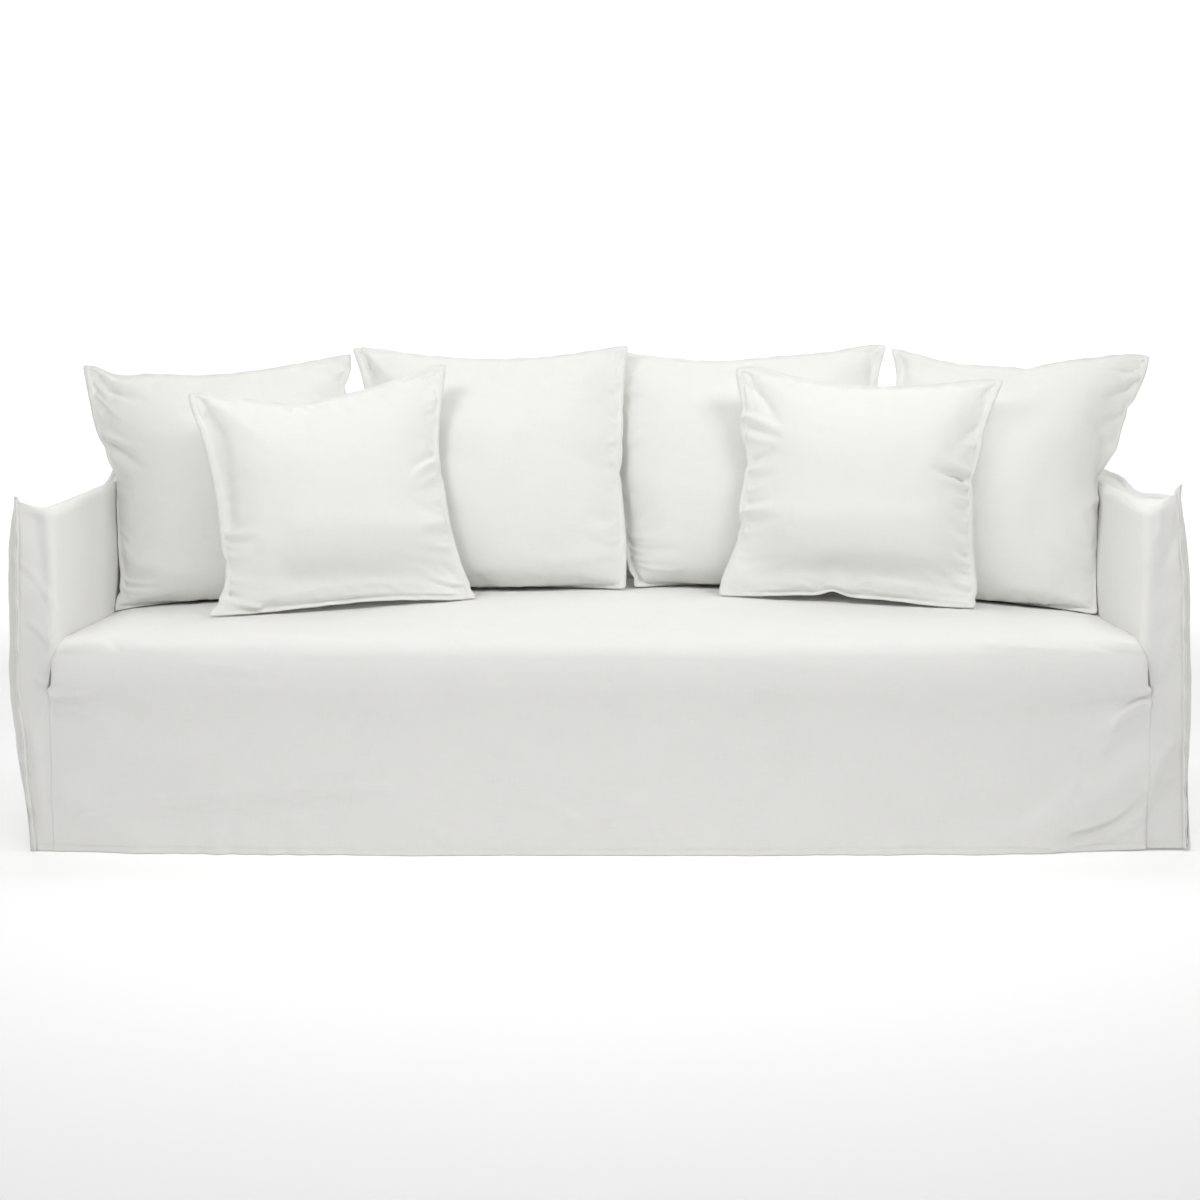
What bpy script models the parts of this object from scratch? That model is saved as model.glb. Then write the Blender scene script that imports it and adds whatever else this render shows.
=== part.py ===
"""Fitted cloth cover for a bench-seat sofa, with its loose cushions, as solids.

The cover is hollow: the sofa that it fits is not modelled. Its panels are sheets of cloth in
the shape that they take over the seat, arms and back, and each cushion is one filled solid.
Metres, +X to the right as seen from the front, +Y to the rear, +Z up. Heights are measured
from the floor while the shapes are worked out. COVER_ORIGIN then puts the origin under the
middle of the seat deck, where the sofa carries the cover.
"""
import math

import bpy
from mathutils import Vector
from mathutils.bvhtree import BVHTree

# Overall sizes of the covered sofa
INNER_HALF = 1.118       # centre line to the inner face of an arm
FLANGE_HALF = 1.197      # centre line to the sewn edge of an arm
DEPTH = 0.96             # front of the arms to the rear panel
ARM_TOP = 0.72
BACK_TOP = 0.72
BACK_FACE = 0.765        # front of the inside back, where it meets the deck
BACK_LEAN = 0.12         # rearward run of the inside back for each metre of height
DECK_REAR_HEIGHT = 0.43

# Cloth and sewing
CLOTH = 0.0025
SEAM_GAP = 0.0003
CONTACT_GAP = 0.0007
EDGE_CLEAR = 0.004       # between a cushion and the rounded top of the back
FLANGE = 0.012           # width of the flat sewn edge
HEM = 0.004              # height of the hem above the floor

# Roundings
ARM_RADIUS = 0.022
BACK_RADIUS = 0.010
EDGE_RADIUS = 0.090      # front edge of the seat

# Seat deck and front skirt
SEAT_FRONT_SIDE = 0.444
SEAT_FRONT_MIDDLE = 0.441
SEAT_SIDE_SINK = 0.014   # fall of the deck's sides from front to rear
SEAT_CROWN = 0.041       # rise of its middle from front to rear
CROWN_START = 0.02       # where the crown begins, behind the front of the arms
CROWN_RUN = 0.50         # how far back it reaches its full height
CROWN_POWER = 2.5        # how flat it stays before it falls to the sides
SKIRT_BOW = 0.037        # how far the front bulges at the middle
HEM_BOW = 0.028
SLIT_BOTTOM = 0.344      # height where the skirt is sewn to the arm front
SLIT_TOP = 0.412         # height where the deck's edge comes round the front corner of an arm
SLIT_BAND = 0.030        # height over which the skirt comes to lie on the arm front
SLIT_PROUD = 0.012       # how far the skirt stands off the arm front beside the slit
EDGE_AHEAD = 0.010       # how early the side of the deck turns outwards, to clear the arm's corner
TUCK = 2.0 * CLOTH       # how far the cloth of an arm or the back runs down behind the deck's edge
HEM_LIFT = 0.010         # rise of the hem at the right-hand end
SWING_START = 0.75       # distance from the middle where the front begins to swing back below
SWING_RUN = 0.40
FOLD_FADE = 0.15         # share of the drop over which a fold in the front comes up from the slit

COVER_ORIGIN = Vector((0.0, 0.40, 0.462))
CLOTH_COLOUR = (0.83, 0.825, 0.80, 1.0)
CUSHION_COLOUR = (0.85, 0.845, 0.82, 1.0)

LEFT = -1
RIGHT = 1

# Sewn edge of each arm seen from the front: height, and how far it swings out or in
FLANGE_SWING = {
    LEFT: ((0.0, -0.015), (0.20, -0.004), (0.345, 0.004), (0.53, 0.0), (0.73, -0.005)),
    RIGHT: ((0.0, 0.026), (0.20, 0.016), (0.345, 0.012), (0.53, 0.006), (0.73, -0.010)),
}
# Sewn top edge of each arm: distance from the front, and its height
TOP_EDGE = {
    LEFT: ((0.0, 0.716), (0.10, 0.700), (0.20, 0.688), (0.50, 0.690), (0.80, 0.704), (0.96, 0.720)),
    RIGHT: ((0.0, 0.735), (0.10, 0.728), (0.50, 0.702), (0.70, 0.720), (0.96, 0.720)),
}
# How each arm's top edge lies: lean of the flange outwards in degrees, rise of its front ear,
# how far the side panel bulges, and how far the hem of the front swings back
ARM_SHAPE = {
    LEFT: {"lean": 50.0, "ear": 0.025, "bulge": 0.018, "swing": 0.012},
    RIGHT: {"lean": 10.0, "ear": 0.034, "bulge": 0.012, "swing": 0.018},
}
FLANGE_FADE = 0.60       # depth over which the front edge's swing out or in dies away
LEAN_START = 0.10        # depth over which the flange comes to its full lean
LEAN_END = (0.80, 0.92)  # depths between which it stands up again
FIRM_REAR = (0.66, 0.78)     # depths between which an arm's rounded inner edge turns square
FIRM_SIDE = 0.3              # share of an arm's width that stays rounded at the front
SIDE_ROUND = 0.06            # distance from an upright edge within which a side panel comes out
SIDE_TOP_ROUND = 0.12        # the same below its top edge
SIDE_HEM_SHARE = 0.35        # share of the bulge that is left at the hem
SIDE_HEM_RISE = 0.30         # height at which the bulge is full
BACK_FULLNESS = 0.010        # how far the rear panel stands off its edges
BACK_ROUND = 0.08            # share of its half width, and height, that the rear panel takes to come out
# Soft ridges in the front skirt: start and end on the front (x, z), half width, height
SKIRT_FOLDS = (
    {"start": (1.142, 0.330), "end": (1.046, 0.259), "half_width": 0.022, "height": 0.006},
    {"start": (1.142, 0.195), "end": (0.914, 0.030), "half_width": 0.040, "height": 0.012},
    {"start": (0.930, 0.070), "end": (0.790, 0.010), "half_width": 0.040, "height": 0.008},
    {"start": (-1.100, 0.120), "end": (-0.960, 0.010), "half_width": 0.040, "height": 0.008},
    {"start": (-1.090, 0.047), "end": (-0.727, 0.036), "half_width": 0.020, "height": 0.005},
    {"start": (-0.420, 0.110), "end": (-0.370, 0.000), "half_width": 0.050, "height": 0.006},
    {"start": (0.300, 0.090), "end": (0.330, 0.000), "half_width": 0.060, "height": 0.005},
)

# Rows of both cloths of an arm, shared so that their sewn edges match: depths from the front,
# and heights on the front below the slit
NEAR_EDGE = 0.414 * ARM_RADIUS
ARM_DEPTHS = (0.0, NEAR_EDGE, ARM_RADIUS, 0.045, 0.09, 0.16, 0.28, 0.42, 0.56, 0.70, 0.837, 0.885, 0.925)
LOW_ROWS = (0.085, 0.17, 0.255)

# Cushions: outer corners of the flat sewn edge (x, y, z), thickness, and how far the top and
# the two sides draw in between the corners
CUSHIONS = (
    {"name": "back_cushion_1", "top_left": (-1.221, 0.800, 0.989), "top_right": (-0.590, 0.810, 1.015),
     "low_left": (-1.117, 0.600, 0.430), "low_right": (-0.565, 0.560, 0.455),
     "thick": 0.240, "draw_top": 0.037, "draw_left": 0.030, "draw_right": 0.024},
    {"name": "back_cushion_2", "top_left": (-0.583, 0.800, 1.027), "top_right": (0.066, 0.790, 1.035),
     "low_left": (-0.557, 0.555, 0.475), "low_right": (0.064, 0.535, 0.480),
     "thick": 0.245, "draw_top": 0.034, "draw_left": 0.028, "draw_right": 0.010},
    {"name": "back_cushion_3", "top_left": (0.040, 0.832, 1.022), "top_right": (0.676, 0.800, 1.032),
     "low_left": (0.074, 0.585, 0.478), "low_right": (0.606, 0.560, 0.470),
     "thick": 0.235, "draw_top": 0.036, "draw_left": 0.008, "draw_right": 0.030},
    {"name": "back_cushion_4", "top_left": (0.684, 0.800, 1.027), "top_right": (1.292, 0.780, 1.009),
     "low_left": (0.614, 0.560, 0.465), "low_right": (1.117, 0.520, 0.440),
     "thick": 0.245, "draw_top": 0.032, "draw_left": 0.030, "draw_right": 0.034},
    {"name": "scatter_cushion_left", "top_left": (-0.928, 0.530, 0.931), "top_right": (-0.349, 0.600, 0.996),
     "low_left": (-0.846, 0.315, 0.461), "low_right": (-0.280, 0.420, 0.490),
     "thick": 0.180, "draw_top": 0.042, "draw_left": 0.023, "draw_right": 0.044},
    {"name": "scatter_cushion_right", "top_left": (0.310, 0.570, 0.988), "top_right": (0.911, 0.570, 0.958),
     "low_left": (0.265, 0.450, 0.486), "low_right": (0.843, 0.410, 0.465),
     "thick": 0.180, "draw_top": 0.040, "draw_left": 0.030, "draw_right": 0.044},
)
CUSHION_STEPS = 14
CUSHION_SAG = 0.15       # how far the fullest part lies below the middle, as a share
CUSHION_ROUND = 0.46     # exponent of the crown: 0.5 is elliptical
FRONT_SHARE = 0.54       # share of the thickness that lies in front of the sewn edge
DRAW_POWER = 3.0         # how quickly an edge runs out to its corner
SEAM_HALF = 0.0025       # half thickness where the two sides are sewn
TIP_HALF = 0.0020        # half thickness at the outer edge of the flange
SCATTER_CLEAR = 0.005    # between a scatter cushion and the cushions behind it
OVERHANG = 0.8           # how far a cushion may spread over an arm, for each metre up
OVERHANG_START = 0.010   # height above the arm where it begins to spread
SQUEEZE_POWER = 3        # how soon a cushion's side or foot gives way to what it touches


def clamp(value):
    return max(0.0, min(1.0, value))


def ease(value):
    """Smooth step from 0 to 1."""
    t = clamp(value)
    return t * t * (3.0 - 2.0 * t)


def mix(start, end, share):
    return start + (end - start) * share


def wrap(value):
    """Rise like a quarter circle, for cloth that turns round an edge."""
    t = 1.0 - clamp(value)
    return math.sqrt(1.0 - t * t)


def read_table(rows, at):
    """Value at a place between the rows (place, value) of a table, with smooth joins."""
    if at <= rows[0][0]:
        return rows[0][1]
    for (place_a, value_a), (place_b, value_b) in zip(rows, rows[1:]):
        if at <= place_b:
            return mix(value_a, value_b, ease((at - place_a) / (place_b - place_a)))
    return rows[-1][1]


def seat_height(x, y):
    """Top of the seat deck: crowned at the middle, and sunk a little at the sides."""
    rise = ease((y - CROWN_START) / CROWN_RUN)
    side = SEAT_FRONT_SIDE - SEAT_SIDE_SINK * rise
    middle = SEAT_FRONT_MIDDLE + SEAT_CROWN * rise
    across = 1.0 - min(1.0, abs(x) / INNER_HALF) ** CROWN_POWER
    return mix(side, middle, across)


def back_face(z):
    """Front of the inside back at a height."""
    return BACK_FACE + BACK_LEAN * (z - DECK_REAR_HEIGHT)


def arm_inner(y):
    """Inner side of an arm at a distance from the front, round its front corner."""
    if y >= ARM_RADIUS:
        return INNER_HALF
    if y <= 0.0:
        return INNER_HALF + ARM_RADIUS
    return INNER_HALF + ARM_RADIUS - math.sqrt(ARM_RADIUS ** 2 - (ARM_RADIUS - y) ** 2)


def hem_height(x):
    """Height of the hem: it lifts a little at the right-hand end."""
    return HEM + HEM_LIFT * ease((x - 0.8 * FLANGE_HALF) / (0.2 * FLANGE_HALF))


def fold_height(x, z):
    """Sum of the soft ridges in the front at a point."""
    total = 0.0
    for fold in SKIRT_FOLDS:
        start = Vector(fold["start"])
        run = Vector(fold["end"]) - start
        offset = Vector((x, z)) - start
        share = clamp(offset.dot(run) / run.length_squared)
        distance = (offset - run * share).length / fold["half_width"]
        total += fold["height"] * math.exp(-distance * distance)
    return total


def front_drape(x, z):
    """How the cloth below the slit hangs off the flat front, at the skirt and the arm fronts."""
    hang = clamp((SLIT_BOTTOM - z) / SLIT_BOTTOM)
    swing = ARM_SHAPE[LEFT if x < 0.0 else RIGHT]["swing"]
    set_back = swing * hang * hang * ease((abs(x) - SWING_START) / SWING_RUN)
    return set_back - fold_height(x, z) * ease(hang / FOLD_FADE)


def skirt_face(x, z):
    """Front of the skirt: bowed at the middle, and proud of the arm fronts beside the slits."""
    hang = clamp((SLIT_BOTTOM - z) / SLIT_BOTTOM)
    proud = SLIT_PROUD * ease((z - SLIT_BOTTOM) / SLIT_BAND + 0.5)
    bow = mix(SKIRT_BOW, HEM_BOW, hang) * (1.0 - (x / (INNER_HALF + ARM_RADIUS)) ** 2)
    return front_drape(x, z) - proud - max(0.0, bow)


def new_material(name, colour):
    material = bpy.data.materials.new(name)
    material.use_nodes = True
    shader = material.node_tree.nodes["Principled BSDF"]
    shader.inputs["Base Color"].default_value = colour
    shader.inputs["Roughness"].default_value = 0.9
    shader.inputs["Metallic"].default_value = 0.0
    return material


def new_piece(name, points, faces, colour):
    """One object from its points and faces, carried by the cover's frame."""
    mesh = bpy.data.meshes.new(name)
    mesh.from_pydata([tuple(point) for point in points], [], faces)
    mesh.materials.append(new_material(name, colour))
    piece = bpy.data.objects.new(name, mesh)
    piece.parent = cover_frame
    bpy.context.scene.collection.objects.link(piece)
    mesh.shade_smooth()
    return piece


def sheet(name, points, faces):
    """Panel of cloth: the points lie on its outer side, and its thickness goes inwards."""
    piece = new_piece(name, points, faces, CLOTH_COLOUR)
    thickness = piece.modifiers.new("thickness", "SOLIDIFY")
    thickness.thickness = CLOTH
    thickness.offset = -1.0
    return piece


def grid_faces(columns, rows):
    """Quads of a grid whose points are listed row by row, turned to face the viewer."""
    faces = []
    for row in range(rows - 1):
        for column in range(columns - 1):
            first = row * columns + column
            faces.append((first, first + 1, first + 1 + columns, first + columns))
    return faces


def spread(count, crowding):
    """Places from -1 to 1, closer together towards the ends."""
    places = []
    for index in range(count + 1):
        t = 2.0 * index / count - 1.0
        places.append(t + crowding * math.sin(math.pi * t))
    return places


def seat_and_skirt():
    """Seat deck and front skirt in one length, from the hem up and back to the inside back."""
    columns = spread(38, 0.12)
    drops = (1.0, 0.86, 0.72, 0.58, 0.44, 0.30, 0.16, 0.06)    # rows of the skirt, from the hem up
    turns = (90.0, 72.0, 54.0, 36.0, 18.0, 0.0)                # rows round the front edge
    runs = (0.10, 0.22, 0.36, 0.52, 0.68, 0.84, 1.0)           # rows of the deck, to the rear
    edge_foot = SEAT_FRONT_SIDE - EDGE_RADIUS

    def outward(share, y):
        return share * (arm_inner(y + EDGE_AHEAD) - SEAM_GAP)

    points = []
    for drop in drops:
        for share in columns:
            x = share * (INNER_HALF + ARM_RADIUS)
            z = mix(edge_foot, hem_height(x), drop)
            points.append((share * (INNER_HALF + ARM_RADIUS - SEAM_GAP), skirt_face(x, z), z))
    for turn in turns:
        angle = math.radians(turn)
        for share in columns:
            x = share * INNER_HALF
            front = skirt_face(x, edge_foot)
            y = front + EDGE_RADIUS * (1.0 - math.sin(angle))
            top = seat_height(x, front + EDGE_RADIUS)
            points.append((outward(share, y), y, top - EDGE_RADIUS * (1.0 - math.cos(angle))))
    for run in runs:
        for share in columns:
            x = share * INNER_HALF
            start = skirt_face(x, edge_foot) + EDGE_RADIUS
            rear = back_face(seat_height(x, BACK_FACE)) - SEAM_GAP
            y = mix(start, rear, run)
            points.append((outward(share, y), y, seat_height(x, y)))
    faces = grid_faces(len(columns), len(drops) + len(turns) + len(runs))
    sheet("seat_and_skirt", points, faces)
    return BVHTree.FromPolygons([tuple(point) for point in points], faces)


def flange_half(side, y, z):
    """Distance of an arm's sewn edge from the centre line."""
    return FLANGE_HALF + read_table(FLANGE_SWING[side], z) * (1.0 - ease(y / FLANGE_FADE))


def arm_edge(side, y, z, out, layer):
    """Point on an arm's sewn edge.

    out is 0 at the seam and 1 at the outer edge of the flange, and the flange turns up along
    the top, forward down the front and to the rear down the back. layer is -1 on the outer
    side of the inner cloth and 1 on that of the side panel.
    """
    top = read_table(TOP_EDGE[side], y)
    upright_again = ease((y - LEAN_END[0]) / (LEAN_END[1] - LEAN_END[0]))
    lean = math.radians(ARM_SHAPE[side]["lean"]) * (1.0 - upright_again) * ease(y / LEAN_START)
    at_top = z >= top - 1e-6
    shift = layer * (CLOTH + SEAM_GAP)
    x = flange_half(side, y, z)
    if not at_top:
        return Vector((side * (x + shift), y, z))
    rise = FLANGE * out * math.cos(lean)
    spread_out = FLANGE * out * math.sin(lean)
    x += spread_out + shift * math.cos(lean)
    return Vector((side * x, y, top + rise - shift * math.sin(lean)))


def arm_heights(side, low, top):
    """Heights of the rows of an arm's cloth: hem, skirt part, then from low up round the top."""
    hem = (hem_height(side * FLANGE_HALF),)
    shares = (0.0, 0.25, 0.5, 0.75, 1.0)
    upright = tuple([mix(low, top - ARM_RADIUS, share) for share in shares])
    return hem + LOW_ROWS + upright + (top - NEAR_EDGE, top)


def inside_arm(side, name):
    """Inner face, top and front of an arm in one cloth, as three sides of a rounded corner."""
    width = FLANGE_HALF - CLOTH - INNER_HALF
    rear = DEPTH - CLOTH - SEAM_GAP
    outs = (0.0, NEAR_EDGE, ARM_RADIUS, 0.6 * width, width)
    depths = (rear,) + ARM_DEPTHS[::-1]
    first_inner = 3
    low_rows = 1 + len(LOW_ROWS)
    last_out = len(outs)
    last_depth = len(depths) - 1
    last_row = len(arm_heights(side, 0.0, 1.0)) - 1

    def seam_height(out, y):
        """Lower edge of the cloth: under the deck, and down round the front corner to the slit."""
        if y > ARM_RADIUS:
            front = skirt_face(INNER_HALF, SLIT_BOTTOM + SLIT_BAND)
            top = seat_height(INNER_HALF, max(y, front + EDGE_RADIUS))
            turn = clamp(1.0 - (y - front) / EDGE_RADIUS)
            return top - EDGE_RADIUS * (1.0 - math.sqrt(1.0 - turn * turn)) - TUCK
        round_share = (ARM_RADIUS - y + out) / (2.0 * ARM_RADIUS)
        return mix(SLIT_TOP, SLIT_BOTTOM, clamp(round_share))

    def place(out_index, depth_index, row):
        """Point of the cloth; the three indexes are steps out, forward and up."""
        tip = out_index == last_out
        out = outs[min(out_index, last_out - 1)]
        y = depths[depth_index]
        foot = read_table(TOP_EDGE[side], y)
        share = out / width
        top = mix(ARM_TOP, foot, ease(share))
        below = top - arm_heights(side, seam_height(out, y), top)[row]
        sharp = Vector((out, y, below))
        inner = Vector([max(value, ARM_RADIUS) for value in sharp])
        offset = sharp - inner
        rounded = inner + offset * (ARM_RADIUS / offset.length)
        firm_rear = ease((y - FIRM_REAR[0]) / (FIRM_REAR[1] - FIRM_REAR[0]))
        firm = max(firm_rear, ease((share - FIRM_SIDE) / (1.0 - FIRM_SIDE)))
        shaped = rounded.lerp(sharp, firm)
        z = top - shaped.z
        if out_index < last_out - 1:
            reach = clamp((out - ARM_RADIUS) / (width - ARM_RADIUS))
            reach *= flange_half(side, y, z) - FLANGE_HALF
            return Vector((side * (INNER_HALF + shaped.x + reach), shaped.y + front_turn(shaped, z), z))
        if depth_index == last_depth and row == last_row:
            corner = arm_edge(side, 0.0, foot, 0.0, -1)
            if tip:
                corner += Vector((0.0, -FLANGE, ARM_SHAPE[side]["ear"]))
            return corner
        if row == last_row:
            return arm_edge(side, y, foot, 1.0 if tip else 0.0, -1)
        edge = arm_edge(side, 0.0, min(z, foot - 1e-3), 0.0, -1)
        edge.y = front_drape(edge.x, z) - (FLANGE if tip else 0.0)
        return edge

    def front_turn(shaped, z):
        """The front follows the hang of the skirt below the slit."""
        if shaped.y > 1e-4:
            return 0.0
        return front_drape(side * (INNER_HALF + shaped.x), z)

    points = []
    numbers = {}
    faces = []

    def number(key):
        if key not in numbers:
            numbers[key] = len(points)
            points.append(place(*key))
        return numbers[key]

    def quad(*keys):
        corners = [number(key) for key in keys]
        faces.append(corners if side == RIGHT else corners[::-1])

    for depth in range(first_inner, last_depth):
        for row in range(low_rows, last_row):
            quad((0, depth, row), (0, depth, row + 1), (0, depth + 1, row + 1), (0, depth + 1, row))
    for out in range(last_out):
        for depth in range(last_depth):
            quad((out, depth, last_row), (out + 1, depth, last_row),
                 (out + 1, depth + 1, last_row), (out, depth + 1, last_row))
        first_row = low_rows if out < 2 else 0
        for row in range(first_row, last_row):
            quad((out, last_depth, row), (out, last_depth, row + 1),
                 (out + 1, last_depth, row + 1), (out + 1, last_depth, row))
    return sheet(name, points, [face[::-1] for face in faces])


def outside_arm(side, name):
    """Side panel of an arm down to the floor, with its flat sewn edge on three sides."""
    depths = (-FLANGE,) + ARM_DEPTHS + (DEPTH, DEPTH + FLANGE)
    rows = len(arm_heights(side, 0.0, 1.0)) + 1
    points = []
    for row in range(rows):
        at_tip = row == rows - 1
        for depth in depths:
            y = max(0.0, min(DEPTH, depth))
            top = read_table(TOP_EDGE[side], y)
            z = arm_heights(side, SLIT_BOTTOM, top)[min(row, rows - 2)]
            if row >= rows - 2:
                point = arm_edge(side, y, top, 1.0 if at_tip else 0.0, 1)
                point.y = depth
                if at_tip and depth < 0.0:
                    corner = arm_edge(side, 0.0, top, 0.0, 1)
                    point = corner + Vector((0.0, -FLANGE, ARM_SHAPE[side]["ear"]))
            else:
                point = arm_edge(side, y, z, 0.0, 1)
                ends = wrap(y / SIDE_ROUND) * wrap((DEPTH - y) / SIDE_ROUND)
                upright = wrap((top - z) / SIDE_TOP_ROUND)
                upright *= mix(SIDE_HEM_SHARE, 1.0, ease(z / SIDE_HEM_RISE))
                point.x += side * ARM_SHAPE[side]["bulge"] * ends * upright
                point.y = depth
            if depth <= 0.0 and row < rows - 2:
                point.y += front_drape(point.x, z)
            points.append(point)
    faces = grid_faces(len(depths), rows)
    if side == LEFT:
        faces = [face[::-1] for face in faces]
    return sheet(name, points, faces)


def inside_back():
    """Inner face and top of the back, from under the deck's rear edge to the rear panel."""
    columns = spread(14, 0.0)
    climbs = (0.0, 0.33, 0.66, 1.0)
    turns = (22.5, 45.0, 67.5, 90.0)
    runs = (0.33, 0.66, 1.0)
    lean_top = back_face(BACK_TOP)
    points = []
    for climb in climbs:
        for share in columns:
            x = share * (INNER_HALF - SEAM_GAP)
            low = seat_height(x, BACK_FACE) - TUCK
            z = mix(low, BACK_TOP - BACK_RADIUS, climb)
            points.append((x, back_face(z), z))
    for turn in turns:
        angle = math.radians(turn)
        for share in columns:
            y = back_face(BACK_TOP - BACK_RADIUS) + BACK_RADIUS * (1.0 - math.cos(angle))
            z = BACK_TOP - BACK_RADIUS * (1.0 - math.sin(angle))
            points.append((share * (INNER_HALF - SEAM_GAP), y, z))
    for run in runs:
        for share in columns:
            y = mix(lean_top + BACK_RADIUS, DEPTH - CLOTH - SEAM_GAP, run)
            points.append((share * (INNER_HALF - SEAM_GAP), y, BACK_TOP))
    rows = len(climbs) + len(turns) + len(runs)
    return sheet("inside_back", points, grid_faces(len(columns), rows))


def outside_back():
    """Rear panel down to the floor; its flat sewn edge stands up along the top."""
    columns = spread(14, 0.10)
    heights = (0.0, 0.12, 0.26, 0.42, 0.58, 0.74, 0.88, 1.0, 1.0)
    points = []
    for row, rise in enumerate(heights):
        for share in columns:
            side = RIGHT if share > 0.0 else LEFT
            z = mix(hem_height(0.0), BACK_TOP, rise)
            if row == len(heights) - 1:
                z += FLANGE
            half = flange_half(side, DEPTH, z) - 0.5 * SEAM_GAP
            fullness = BACK_FULLNESS * wrap((1.0 - abs(share)) / BACK_ROUND)
            fullness *= wrap((BACK_TOP - z) / BACK_ROUND)
            points.append((share * half, DEPTH + fullness, z))
    faces = grid_faces(len(columns), len(heights))
    return sheet("outside_back", points, [face[::-1] for face in faces])


def corner_mix(row, u, v):
    """Point of the flat four-cornered figure between a cushion's corners."""
    low = Vector(row["low_left"]).lerp(Vector(row["low_right"]), 0.5 * (1.0 + u))
    top = Vector(row["top_left"]).lerp(Vector(row["top_right"]), 0.5 * (1.0 + u))
    return low.lerp(top, 0.5 * (1.0 + v))


def arm_limit(z):
    """How far out a cushion may reach: to the arm, and further above the arm's top."""
    return INNER_HALF - CONTACT_GAP + OVERHANG * max(0.0, z - ARM_TOP - OVERHANG_START)


def back_limit(z):
    """How far back a cushion may reach: to the plane of the inside back, also above its top."""
    return back_face(z) - EDGE_CLEAR


def deck_height(x, y):
    """Top of the deck as its faces run, for a cushion that rests on it."""
    hit = deck_tree.ray_cast(Vector((x, y, 1.0)), Vector((0.0, 0.0, -1.0)))
    return hit[0].z if hit[0] is not None else seat_height(x, y)


def facing(row):
    """Direction that a cushion's front faces."""
    across = Vector(row["top_right"]) + Vector(row["low_right"])
    across -= Vector(row["top_left"]) + Vector(row["low_left"])
    upward = Vector(row["top_left"]) + Vector(row["top_right"])
    upward -= Vector(row["low_left"]) + Vector(row["low_right"])
    return across.cross(upward).normalized()


def middle_surface(row, u, v):
    """Point midway through a cushion; u and v are 1 at the outer edge of the flange."""
    width = (Vector(row["top_right"]) - Vector(row["top_left"])).length
    height = (Vector(row["top_left"]) - Vector(row["low_left"])).length
    draw_side = row["draw_right"] if u > 0.0 else row["draw_left"]
    drawn_u = u * (1.0 - 2.0 * draw_side / width * (1.0 - abs(v) ** DRAW_POWER))
    drawn_v = v
    if v > 0.0:
        drawn_v = v * (1.0 - 2.0 * row["draw_top"] / height * (1.0 - abs(u) ** DRAW_POWER))
    point = corner_mix(row, drawn_u, drawn_v)
    edge = corner_mix(row, math.copysign(1.0, u), drawn_v)
    beyond = max(0.0, abs(edge.x) - arm_limit(edge.z))
    point.x -= math.copysign(beyond * abs(u) ** SQUEEZE_POWER, edge.x)
    foot = corner_mix(row, drawn_u, -1.0)
    lift = deck_height(foot.x, foot.y) + CONTACT_GAP + TIP_HALF * abs(facing(row).z) - foot.z
    point.z += lift * (0.5 * (1.0 - v)) ** SQUEEZE_POWER
    return point


def cushion(row, behind):
    """One filled cushion: two crowned sides that meet in a flat sewn edge."""
    count = CUSHION_STEPS
    steps = [math.sin(0.5 * math.pi * (2.0 * index / count - 1.0)) for index in range(count + 1)]
    width = (Vector(row["top_right"]) - Vector(row["top_left"])).length
    height = (Vector(row["top_left"]) - Vector(row["low_left"])).length
    inset_u = 1.0 - 2.0 * FLANGE / width
    inset_v = 1.0 - 2.0 * FLANGE / height
    forward = facing(row)

    def crown(u, v):
        sunk = v + CUSHION_SAG * (1.0 - v * v)
        return row["thick"] * ((1.0 - u * u) * max(0.0, 1.0 - sunk * sunk)) ** CUSHION_ROUND

    def settle(point):
        point.y = min(point.y, back_limit(point.z))
        point.z = max(point.z, deck_height(point.x, point.y) + CONTACT_GAP)
        return point

    front, rear = [], []
    for v in steps:
        for u in steps:
            middle = middle_surface(row, u * inset_u, v * inset_v)
            full = crown(u, v)
            ahead = max(SEAM_HALF, full * FRONT_SHARE)
            back = max(SEAM_HALF, full * (1.0 - FRONT_SHARE))
            for tree in behind:
                hit = tree.ray_cast(middle, -forward, back + SCATTER_CLEAR)
                if hit[0] is not None:
                    back = max(SEAM_HALF, hit[3] - SCATTER_CLEAR)
            front.append(settle(middle + forward * ahead))
            rear.append(settle(middle - forward * back))
    side_count = count + 1
    total = side_count * side_count
    faces = grid_faces(side_count, side_count)
    faces += [tuple(total + index for index in reversed(face)) for face in faces]

    around = [(column, 0) for column in range(count)]
    around += [(count, level) for level in range(count)]
    around += [(column, count) for column in range(count, 0, -1)]
    around += [(0, level) for level in range(count, 0, -1)]
    points = front + rear
    for half in (TIP_HALF, -TIP_HALF):
        for column, level in around:
            u, v = steps[column], steps[level]
            tip_u = u if abs(u) > 0.999 else u * inset_u
            tip_v = v if abs(v) > 0.999 else v * inset_v
            points.append(middle_surface(row, tip_u, tip_v) + forward * half)
    ring = len(around)
    for index in range(ring):
        after = (index + 1) % ring
        seam_a = around[index][1] * side_count + around[index][0]
        seam_b = around[after][1] * side_count + around[after][0]
        tip_a, tip_b = 2 * total + index, 2 * total + after
        faces.append((seam_b, seam_a, tip_a, tip_b))
        faces.append((tip_b, tip_a, tip_a + ring, tip_b + ring))
        faces.append((seam_a + total, seam_b + total, tip_b + ring, tip_a + ring))
    new_piece(row["name"], points, faces, CUSHION_COLOUR)
    return BVHTree.FromPolygons([tuple(point) for point in points], faces)


for old in list(bpy.data.objects):
    bpy.data.objects.remove(old, do_unlink=True)

cover_frame = bpy.data.objects.new("cover_frame", None)
cover_frame.location = -COVER_ORIGIN
bpy.context.scene.collection.objects.link(cover_frame)

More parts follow.
